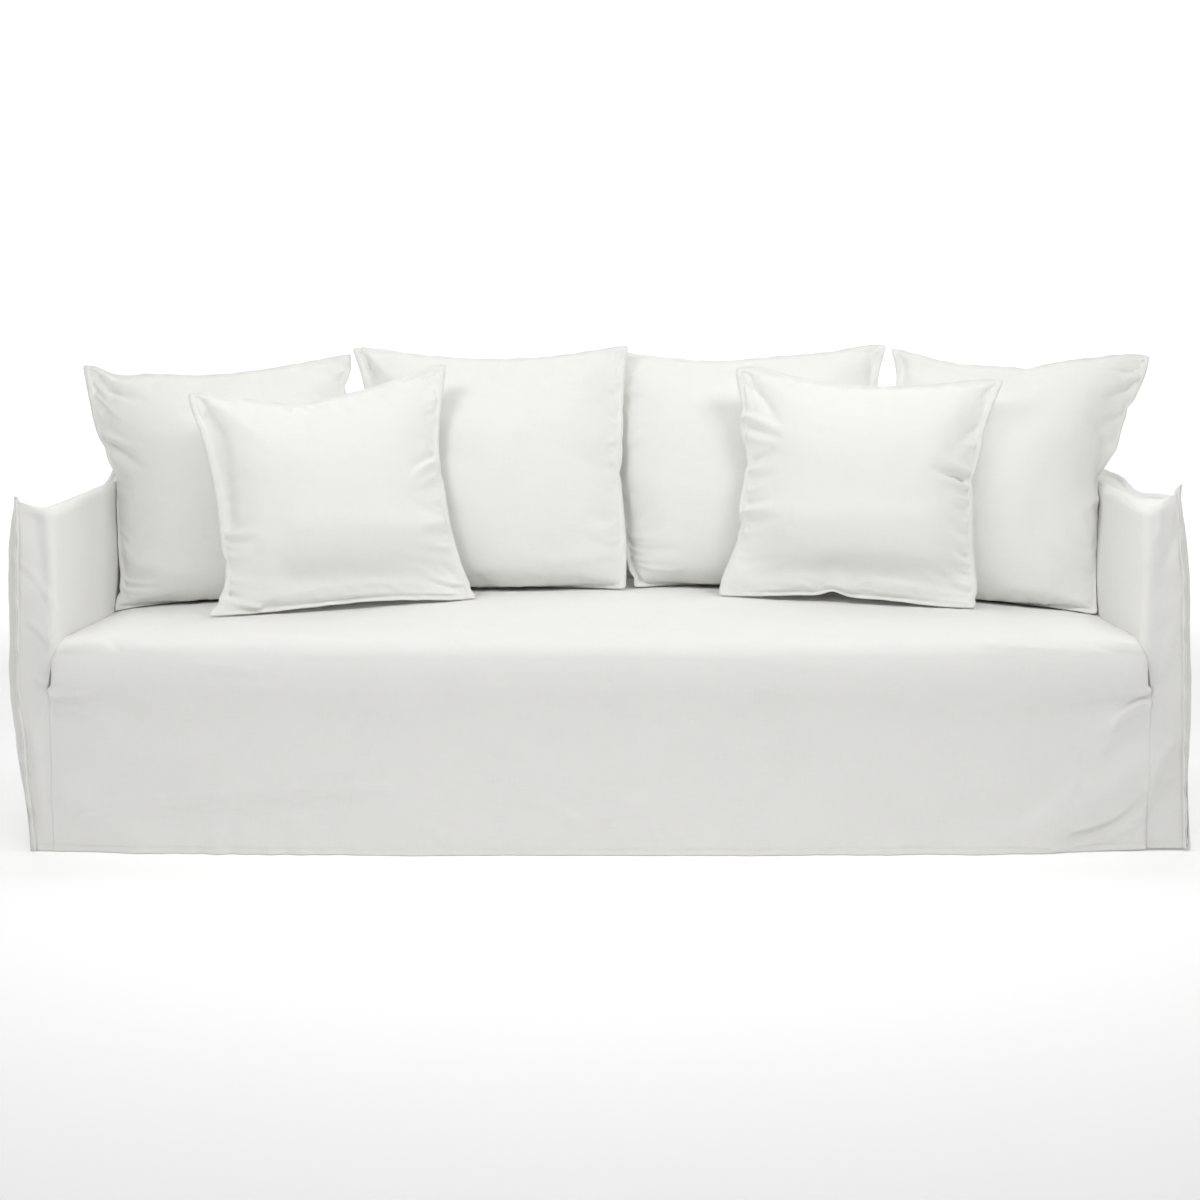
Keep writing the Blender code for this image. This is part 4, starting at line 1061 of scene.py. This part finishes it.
def corner_mix(row, u, v):
    u, v = u[..., None], v[..., None]
    low_left, low_right, top_left, top_right = corners(row)
    low = mix(low_left, low_right, 0.5 * (1.0 + u))
    top = mix(top_left, top_right, 0.5 * (1.0 + u))
    return mix(low, top, 0.5 * (1.0 + v))


def facing(row):
    """The direction that a cushion faces."""
    low_left, low_right, top_left, top_right = corners(row)
    across = top_right + low_right - top_left - low_left
    upward = top_left + top_right - low_left - low_right
    forward = np.cross(across, upward)
    return forward / np.linalg.norm(forward)


def cushion_size(row):
    low_left, _, top_left, top_right = corners(row)
    return np.linalg.norm(top_right - top_left), np.linalg.norm(top_left - low_left)


def seam_places(width, height):
    """Where the seams run: u and v of 1 are at the outer edge of the flange."""
    return 1.0 - 2.0 * FLANGE / width, 1.0 - 2.0 * FLANGE / height


def edge_inset(row, edge, at, near):
    """How far an edge draws in at a place along it; near is 1 on the edge and 0 in the middle."""
    total = curve(row[edge], at)
    for name, place, depth, half_width in row["pinches"]:
        if name == edge:
            total = total + depth * np.exp(-((at - place) / half_width) ** 2) * near ** 12
    return total


def middle_surface(row, u, v):
    """Points midway through a cushion; u and v are 1 at the outer edge of the flange."""
    width, height = cushion_size(row)
    left, right = edge_inset(row, "left", v, np.abs(u)), edge_inset(row, "right", v, np.abs(u))
    drawn_u = u * (1.0 - 2.0 * np.where(u > 0.0, right, left) / width)
    top = edge_inset(row, "top", u, np.abs(v))
    drawn_v = np.where(v > 0.0, v * (1.0 - 2.0 * top / height), v)
    point = corner_mix(row, drawn_u, drawn_v)
    low = 0.5 * (1.0 - v)
    point[..., 1] -= curve(row["foot"], u) * low ** 6
    foot = corner_mix(row, drawn_u, -np.ones_like(drawn_u))
    foot[..., 1] -= curve(row["foot"], u)
    on_deck = seat_height(foot[..., 0], foot[..., 1]) + CONTACT_GAP + TIP_HALF * abs(facing(row)[2])
    lift = on_deck - foot[..., 2]
    if "rise" in row:
        lift += curve(row["rise"], u)
    point[..., 2] += lift * low ** 3
    return point


def crown(row, u, v):
    """Thickness of the filling, which is fullest a little below the middle."""
    sunk = v + 0.15 * (1.0 - v * v)
    upright = np.maximum(0.0, 1.0 - sunk * sunk) ** mix(0.45, 0.66, ease(0.5 + 0.8 * v))
    return row["thick"] * (1.0 - u * u) ** 0.64 * upright


def settle(points):
    """Keeps a cushion off the deck, in front of the back and inside the arms."""
    x, y, z = points[..., 0], points[..., 1], points[..., 2]
    y = np.minimum(y, back_face(z) - BACK_GAP)
    z = np.maximum(z, seat_height(x, y) + CONTACT_GAP)
    above_arm = np.maximum(0.0, z - ARM_TOP - 0.010)
    limit = INNER_HALF + arm_flare(y, z) - CONTACT_GAP + 0.8 * above_arm
    return points_at(np.clip(x, -limit, limit), y, z)


def cushion_mesh(row, behind):
    """Both sides of a cushion's cover and its flange; behind lists the cushions that it leans on."""
    width, height = cushion_size(row)
    inset_u, inset_v = seam_places(width, height)
    t = np.linspace(-1.0, 1.0, CUSHION_STEPS + 1)
    steps = 0.5 * t + 0.5 * np.sin(0.5 * np.pi * t)
    u, v = np.meshgrid(steps, steps)
    forward = facing(row)
    middle = middle_surface(row, u * inset_u, v * inset_v)
    full = crown(row, u, v)
    forward_share = FRONT_SHARE - (LEANING_LESS if behind else 0.0) * ease((-0.35 - v) / 0.6)
    ahead = np.maximum(SEAM_HALF, forward_share * full)
    back = np.maximum(SEAM_HALF, (1.0 - forward_share) * full)
    for index in np.ndindex(back.shape):
        for tree in behind:
            hit = tree.ray_cast(Vector(middle[index]), Vector(-forward), back[index] + LEAN_GAP)
            if hit[0] is not None:
                back[index] = max(SEAM_HALF, hit[3] - LEAN_GAP)
    front = middle + forward * ahead[..., None]
    slump = SCATTER_SLUMP if behind else BACK_SLUMP
    front[..., 2] -= slump * ahead * ease((0.1 - v) / 0.9)
    rear = middle - forward * back[..., None]

    # The two sides, then the flange's points in rings from the front seam to the rear one
    points = [settle(front).reshape(-1, 3), settle(rear).reshape(-1, 3)]
    to_rear = np.array((0.0, REAR_OFFSET))
    flat = 0.5 * np.stack((u * width, v * height), axis=2).reshape(-1, 2)
    cloth = [flat, flat + to_rear]
    side = CUSHION_STEPS + 1
    total = side * side
    faces = [grid_faces(side, side), grid_faces(side, side)[:, ::-1] + total]
    index = np.arange(total).reshape(side, side)
    seam = np.concatenate((index[0, :-1], index[:-1, -1], index[-1, :0:-1], index[:0:-1, 0]))
    ring_u, ring_v = u.ravel()[seam], v.ravel()[seam]
    ring = len(seam)
    turn = np.arange(ring) * 2.0 * math.pi / ring
    wave = 0.0016 * np.sin(37.0 * turn) + 0.0014 * np.sin(53.0 * turn + 1.0) + 0.0008 * np.sin(91.0 * turn)
    rows = [seam]
    first = 2 * total
    rings = ((0.5, FLANGE_HALF_THICK), (1.0, TIP_HALF), (1.0, -TIP_HALF), (0.5, -FLANGE_HALF_THICK))
    for out, half in rings:
        reach_u = ring_u * np.where(np.abs(ring_u) > 0.999, mix(inset_u, 1.0, out), inset_u)
        reach_v = ring_v * np.where(np.abs(ring_v) > 0.999, mix(inset_v, 1.0, out), inset_v)
        ahead = forward * (half + wave * out)[:, None]
        points.append(settle(middle_surface(row, reach_u, reach_v) + ahead))
        cloth.append(flat[seam] * (1.0 + 0.02 * out) + (to_rear if half < 0.0 else 0.0))
        rows.append(first + np.arange(ring))
        first += ring
    rows.append(seam + total)
    after = np.roll(np.arange(ring), -1)
    for near, far in zip(rows, rows[1:]):
        faces.append(np.stack((near[after], near, far, far[after]), axis=1))
    points = np.concatenate(points)
    mesh = cloth_mesh(row["name"] + "_cover", points, np.concatenate(cloth), np.concatenate(faces))
    mesh.shade_smooth()
    held = np.concatenate((seam, seam + total, np.arange(2 * total, len(points))))
    return mesh, held


def gathers(rows, a, b, width, height):
    """Short uneven gathers that run in from a seam and die away."""
    total = np.zeros_like(a)
    for edge, start, end, pitch, depth, reach, slant in rows:
        inward, place = {
            "left": (a + 0.5 * width, b), "right": (0.5 * width - a, b),
            "top": (0.5 * height - b, a), "low": (b + 0.5 * height, a),
        }[edge]
        place = place + slant * np.minimum(inward, 0.08)
        window = ease((place - start) / 0.04) * ease((end - place) / 0.04)
        swell = 0.55 + 0.45 * ripple(place, 3.3 * pitch, 1.0)
        wave = ripple(place, pitch, 1.6 * ripple(place, 2.7 * pitch))
        total = total + depth * swell * window * wave * np.exp(-inward / reach)
    return total


def crease_cushion(row, mesh):
    """Presses the listed creases and the gathers into the filled cover."""
    width, height = cushion_size(row)

    def seam_distance(place):
        return np.minimum(0.5 * width - np.abs(place[0]), 0.5 * height - np.abs(place[1]))

    loops, cloth = np.empty(len(mesh.loops), int), np.empty(2 * len(mesh.loops))
    mesh.loops.foreach_get("vertex_index", loops)
    mesh.uv_layers["cloth"].data.foreach_get("uv", cloth)
    at = np.zeros((len(mesh.vertices), 2))
    at[loops] = cloth.reshape(-1, 2)
    rear = at[:, 1] > 0.75 * REAR_OFFSET
    on_edge = (at[:, 1] > 0.25 * REAR_OFFSET) & ~rear
    a, b = at[:, 0], at[:, 1] - REAR_OFFSET * rear
    fade = np.where(on_edge, 0.0, ease(seam_distance((a, b)) / 0.006))
    rows = []
    for line in CREASES[row["name"]]:
        start_a, start_b, end_a, end_b, half_width, depth, bend = (value / 1000 for value in line)
        start, end = (start_a, start_b), (end_a, end_b)
        # A crease is deepest at the end that is nearer to a seam, and fans out from there
        if seam_distance(end) < seam_distance(start):
            start, end, bend = end, start, -bend
        ends = SHARP_ENDS if half_width < SHARP_CREASE else BROAD_ENDS
        rows.append((start, end, half_width, depth, bend, *ends))
    relief = np.where(rear, REAR_CREASING, FRONT_CREASING) * folds(rows, a, b)
    relief += gathers(GATHERS[row["name"]], a, b, width, height)
    relief += uneven(a + 3.0 * rear, b, height=0.0010, size=0.15, seed=len(row["name"]))
    relief += uneven(a, b, height=0.0004, size=0.05, seed=8)
    pressed = read_vectors(mesh, "co") + read_vectors(mesh, "normal") * (relief * fade)[:, None]
    move_points(mesh, settle(pressed + ORIGIN) - ORIGIN)


def press_out(piece, held):
    """Lets the filling press the cloth out for a moment, with the seams and the flange held."""
    mesh = piece.data
    before = read_vectors(mesh, "co")
    group = piece.vertex_groups.new(name="held")
    group.add([int(index) for index in held], 1.0, "REPLACE")
    modifier = piece.modifiers.new("cloth", "CLOTH")
    settings = modifier.settings
    settings.quality = 5
    settings.mass = 0.25
    settings.tension_stiffness = 12.0
    settings.compression_stiffness = 8.0
    settings.bending_stiffness = 0.15
    settings.shrink_min = -0.012
    settings.use_pressure = True
    settings.uniform_pressure_force = 3.0
    settings.vertex_group_mass = "held"
    settings.effector_weights.gravity = 0.0
    modifier.point_cache.frame_start = 1
    modifier.point_cache.frame_end = FILLING_FRAMES
    scene = bpy.context.scene
    for number in range(1, FILLING_FRAMES + 1):
        scene.frame_set(number)
    evaluated = piece.evaluated_get(bpy.context.evaluated_depsgraph_get())
    move = read_vectors(evaluated.data, "co") - before
    piece.modifiers.remove(modifier)
    scene.frame_set(1)
    size = np.maximum(1e-9, np.linalg.norm(move, axis=1, keepdims=True))
    move_points(mesh, before + move * np.minimum(1.0, FILLING_REACH / size))


cushion_linen = washed_linen("cushion_linen", (0.928, 0.931, 0.898), 0.0016)
back_trees = []
for row in CUSHIONS:
    leaning = row["name"].startswith("scatter")
    mesh, held = cushion_mesh(row, back_trees if leaning else [])
    mesh.materials.append(cushion_linen)
    piece = add_object(row["name"] + "_cover", mesh)
    press_out(piece, held)
    smooth = piece.modifiers.new("smooth", "SUBSURF")
    smooth.levels = 1
    smooth.render_levels = 1
    evaluated = piece.evaluated_get(bpy.context.evaluated_depsgraph_get())
    mesh = bpy.data.meshes.new_from_object(evaluated)
    mesh.name = row["name"] + "_cover_cloth"
    piece.modifiers.remove(smooth)
    piece.data = mesh
    crease_cushion(row, mesh)
    outer_faces[row["name"]] = face_tree(mesh)
    if not leaning:
        back_trees.append(face_tree(mesh, ORIGIN))
    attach(piece, "root")
    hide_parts(row["name"])


# Stitches. A row closes each flange just outside its seam, on both sides, and another holds the
# upper edge of each hem: plain lockstitch in thread of the cloth's colour, about 5 mm a stitch.
STITCH_PITCH = 0.0052
STITCH_LENGTH = 0.0037
THREAD = 0.0009
# Place of the row across a flange, from its seam: on the cushions, and on the cover
CUSHION_ROW = 0.22
COVER_ROW = 0.308
# How far from the cloth, on its outer side, the search for it starts
BESIDE = 0.004


def stitch_row(name, points, toward):
    """Lays a line of points (from the floor) on the outer face of a piece, seen from one side."""
    row = []
    for point in points - ORIGIN:
        place, normal, _, _ = outer_faces[name].find_nearest(Vector(point + toward))
        row.append(tuple(place + 0.25 * THREAD * normal))
    return row


def cushion_rows():
    """A closed row of stitches on both sides of each cushion's flange."""
    lines = []
    for row in CUSHIONS:
        inset_u, inset_v = seam_places(*cushion_size(row))
        u, v = mix(inset_u, 1.0, CUSHION_ROW), mix(inset_v, 1.0, CUSHION_ROW)
        t = np.linspace(-1.0, 1.0, 60)[:-1]
        one = np.ones_like(t)
        ring_u, ring_v = np.concatenate((t, one, -t, -one)) * u, np.concatenate((-one, t, one, -t)) * v
        ring = settle(middle_surface(row, ring_u, ring_v))
        for reach in (BESIDE, -BESIDE):
            line = stitch_row(row["name"], ring, facing(row) * reach)
            lines.append(line + line[:1])
    return lines


def hem_and_back_rows():
    """Rows along the skirt's hem, and along the rear panel's hem and top flange."""
    before, behind = (0.0, -0.01, 0.0), (0.0, 0.02, 0.0)
    across = np.linspace(-1.0, 1.0, 420) * (INNER_HALF + ARM_RADIUS - 0.004)
    hem = hem_height(across) + HEM_DEPTH
    front = points_at(across, skirt_face(across, hem), hem)
    across = np.linspace(-1.0, 1.0, 420) * (FLANGE_HALF - 0.004)
    low = points_at(across, DEPTH, HEM_HEIGHT + HEM_DEPTH)
    high = points_at(across, DEPTH, BACK_TOP + COVER_ROW * FLANGE)
    return [
        stitch_row("seat_and_skirt_cloth", front, before),
        stitch_row("outside_back_cloth", low, behind),
        stitch_row("outside_back_cloth", high, behind),
    ]


def arm_rows(side, inside, outside):
    """Rows along an arm's hems, and along both sides of its flange at the front and on top."""
    hem = float(hem_height(side * FLANGE_HALF)) + HEM_DEPTH
    depth = np.linspace(0.010, DEPTH - 0.006, 160)
    panel = points_at(side * (FLANGE_HALF + 0.02), depth, hem)
    short = np.linspace(INNER_HALF + ARM_RADIUS + 0.003, FLANGE_HALF - 0.006, 24) * side
    front = points_at(short, front_drape(short, hem), hem)
    lines = [
        stitch_row(outside, panel, (0.02 * side, 0.0, 0.0)),
        stitch_row(inside, front, (0.0, -0.01, 0.0)),
    ]
    up = np.linspace(hem + 0.006, float(read_table(TOP_EDGE[side], 0.0)) - 0.004, 130)
    top = read_table(TOP_EDGE[side], depth)
    for piece, layer in ((inside, -1), (outside, 1)):
        reach = (BESIDE * side * layer, 0.0, 0.0)
        lines.append(stitch_row(piece, arm_edge(side, 0.0, up, COVER_ROW, layer, False), reach))
        lines.append(stitch_row(piece, arm_edge(side, depth, top, COVER_ROW, layer, True), reach))
    return lines


def thread_material():
    """Matt cotton thread, with the slant of its twist."""
    material, tree, shader = new_material("sewing_thread", {"Roughness": 0.75})
    place = tree.nodes.new("ShaderNodeTexCoord").outputs["Object"]
    noise = feed(tree.nodes.new("ShaderNodeTexNoise"), {"Vector": place, "Scale": 90.0})
    ramp = feed(tree.nodes.new("ShaderNodeValToRGB"), {"Fac": noise.outputs["Fac"]})
    ramp.color_ramp.elements[0].color = (0.86, 0.85, 0.82, 1.0)
    ramp.color_ramp.elements[1].color = (0.95, 0.94, 0.91, 1.0)
    twist = tree.nodes.new("ShaderNodeTexWave")
    twist.bands_direction = "DIAGONAL"
    feed(twist, {"Vector": place, "Scale": 700.0})
    bump = feed(tree.nodes.new("ShaderNodeBump"), {"Height": twist.outputs["Fac"], "Distance": 0.0001})
    feed(shader, {"Base Color": ramp.outputs["Color"], "Normal": bump.outputs["Normal"]})
    return material


def stitch_tree(material):
    """Node tree that sets a short stitch every pitch along each line; returns it and its inputs."""
    tree = bpy.data.node_groups.new("stitch_rows", "GeometryNodeTree")
    tree.interface.new_socket("Lines", in_out="INPUT", socket_type="NodeSocketGeometry")
    inputs = {}
    for name in ("Pitch", "Length", "Radius"):
        socket = tree.interface.new_socket(name, in_out="INPUT", socket_type="NodeSocketFloat")
        inputs[name] = socket.identifier
    tree.interface.new_socket("Stitches", in_out="OUTPUT", socket_type="NodeSocketGeometry")
    nodes = tree.nodes
    given = nodes.new("NodeGroupInput").outputs
    line = feed(nodes.new("GeometryNodeMeshToCurve"), {"Mesh": given["Lines"]})
    spaced = nodes.new("GeometryNodeResampleCurve")
    spaced.mode = "LENGTH"
    feed(spaced, {"Curve": line.outputs["Curve"], "Length": given["Pitch"]})
    turn = nodes.new("FunctionNodeAlignRotationToVector")
    turn.axis = "Z"
    feed(turn, {"Vector": nodes.new("GeometryNodeInputTangent").outputs["Tangent"]})
    stitch = nodes.new("GeometryNodeMeshCylinder")
    feed(stitch, {"Vertices": 4, "Radius": given["Radius"], "Depth": given["Length"]})
    placed = feed(nodes.new("GeometryNodeInstanceOnPoints"), {
        "Points": spaced.outputs["Curve"], "Instance": stitch.outputs["Mesh"],
        "Rotation": turn.outputs["Rotation"],
    })
    real = feed(nodes.new("GeometryNodeRealizeInstances"), {"Geometry": placed.outputs["Instances"]})
    coat = nodes.new("GeometryNodeSetMaterial")
    feed(coat, {"Geometry": real.outputs["Geometry"], "Material": material})
    feed(nodes.new("NodeGroupOutput"), {"Stitches": coat.outputs["Geometry"]})
    return tree, inputs


stitch_rows = cushion_rows() + hem_and_back_rows()
for side, name in ((LEFT, "left"), (RIGHT, "right")):
    stitch_rows += arm_rows(side, "inside_arm_%s_cloth" % name, "outside_arm_%s_cloth" % name)
places_on_lines, edges = [], []
for line in stitch_rows:
    first = len(places_on_lines)
    places_on_lines += line
    edges += [(first + step, first + step + 1) for step in range(len(line) - 1)]
mesh = bpy.data.meshes.new("stitch_lines")
mesh.from_pydata(places_on_lines, edges, [])
thread = thread_material()
mesh.materials.append(thread)
guide = add_object("stitch_lines", mesh)
tree, inputs = stitch_tree(thread)
modifier = guide.modifiers.new("stitch_rows", "NODES")
modifier.node_group = tree
modifier[inputs["Pitch"]] = STITCH_PITCH
modifier[inputs["Length"]] = STITCH_LENGTH
modifier[inputs["Radius"]] = 0.5 * THREAD
evaluated = guide.evaluated_get(bpy.context.evaluated_depsgraph_get())
stitches = add_object("stitches", bpy.data.meshes.new_from_object(evaluated))
bpy.data.objects.remove(guide)
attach(stitches, "root")


# Floor, light and camera. A pale studio floor that curves up behind. Broad soft lights stand above
# the front and the back, a smaller one on each side and one before the wall, in an even pale room.
def studio_sweep():
    """The floor from side to side, and a quarter turn up into the wall behind."""
    floor, wall, turn, half_width = -ORIGIN[2] - 0.0005, 4.0, 3.0, 14.0
    profile = [(-6.0, floor), (wall, floor)]
    for step in range(1, 13):
        angle = math.radians(7.5 * step)
        profile.append((wall + turn * math.sin(angle), floor + turn * (1.0 - math.cos(angle))))
    profile.append((wall + turn, floor + 9.0))
    points = [(x, y, z) for y, z in profile for x in (-half_width, half_width)]
    faces = [(2 * k, 2 * k + 1, 2 * k + 3, 2 * k + 2) for k in range(len(profile) - 1)]
    mesh = bpy.data.meshes.new("studio_floor")
    mesh.from_pydata(points, [], faces)
    mesh.shade_smooth()
    return mesh


WHITE = (1.0, 1.0, 1.0, 1.0)
studio_white, _, _ = new_material("studio_white", {
    "Base Color": (0.97, 0.97, 0.97, 1.0), "Roughness": 0.95,
    "Emission Color": WHITE, "Emission Strength": 0.20,
})
sweep = add_object("studio_floor", studio_sweep())
sweep.data.materials.append(studio_white)

world = bpy.data.worlds.new("studio")
world.use_nodes = True
feed(world.node_tree.nodes["Background"], {"Color": WHITE, "Strength": 0.40})
bpy.context.scene.world = world


def soft_box(name, place, target, size, watts):
    light = bpy.data.lights.new(name, "AREA")
    light.shape = "RECTANGLE"
    light.size, light.size_y = size
    light.energy = watts
    lamp = add_object(name, light)
    lamp.location = place
    lamp.rotation_euler = (Vector(target) - Vector(place)).to_track_quat("-Z", "Y").to_euler()


soft_box("above_front", (0.0, -1.7, 2.3), (0.0, 0.3, 0.1), (2.4, 0.8), 9.9)
soft_box("above_rear", (0.0, 1.2, 2.7), (0.0, 0.0, 0.0), (4.0, 1.2), 21.0)
soft_box("above_right", (1.2, -0.9, 1.5), (-0.8, 0.1, 0.2), (0.8, 0.6), 10.8)
soft_box("above_left", (-1.2, -0.9, 1.5), (0.8, 0.1, 0.2), (0.8, 0.6), 9.8)
soft_box("backdrop", (0.0, 3.4, 3.2), (0.0, 7.5, 1.6), (9.0, 1.5), 150.0)

camera = bpy.data.cameras.new("camera")
camera.lens = 73.5
camera.sensor_width = 36.0
camera.shift_x = -0.04
viewer = add_object("camera", camera)
viewer.location = (0.10, -5.40, 0.721)
viewer.rotation_euler = (math.radians(90.0 - 7.44), 0.0, 0.0)
bpy.context.scene.camera = viewer
bpy.context.scene.view_settings.view_transform = "Standard"
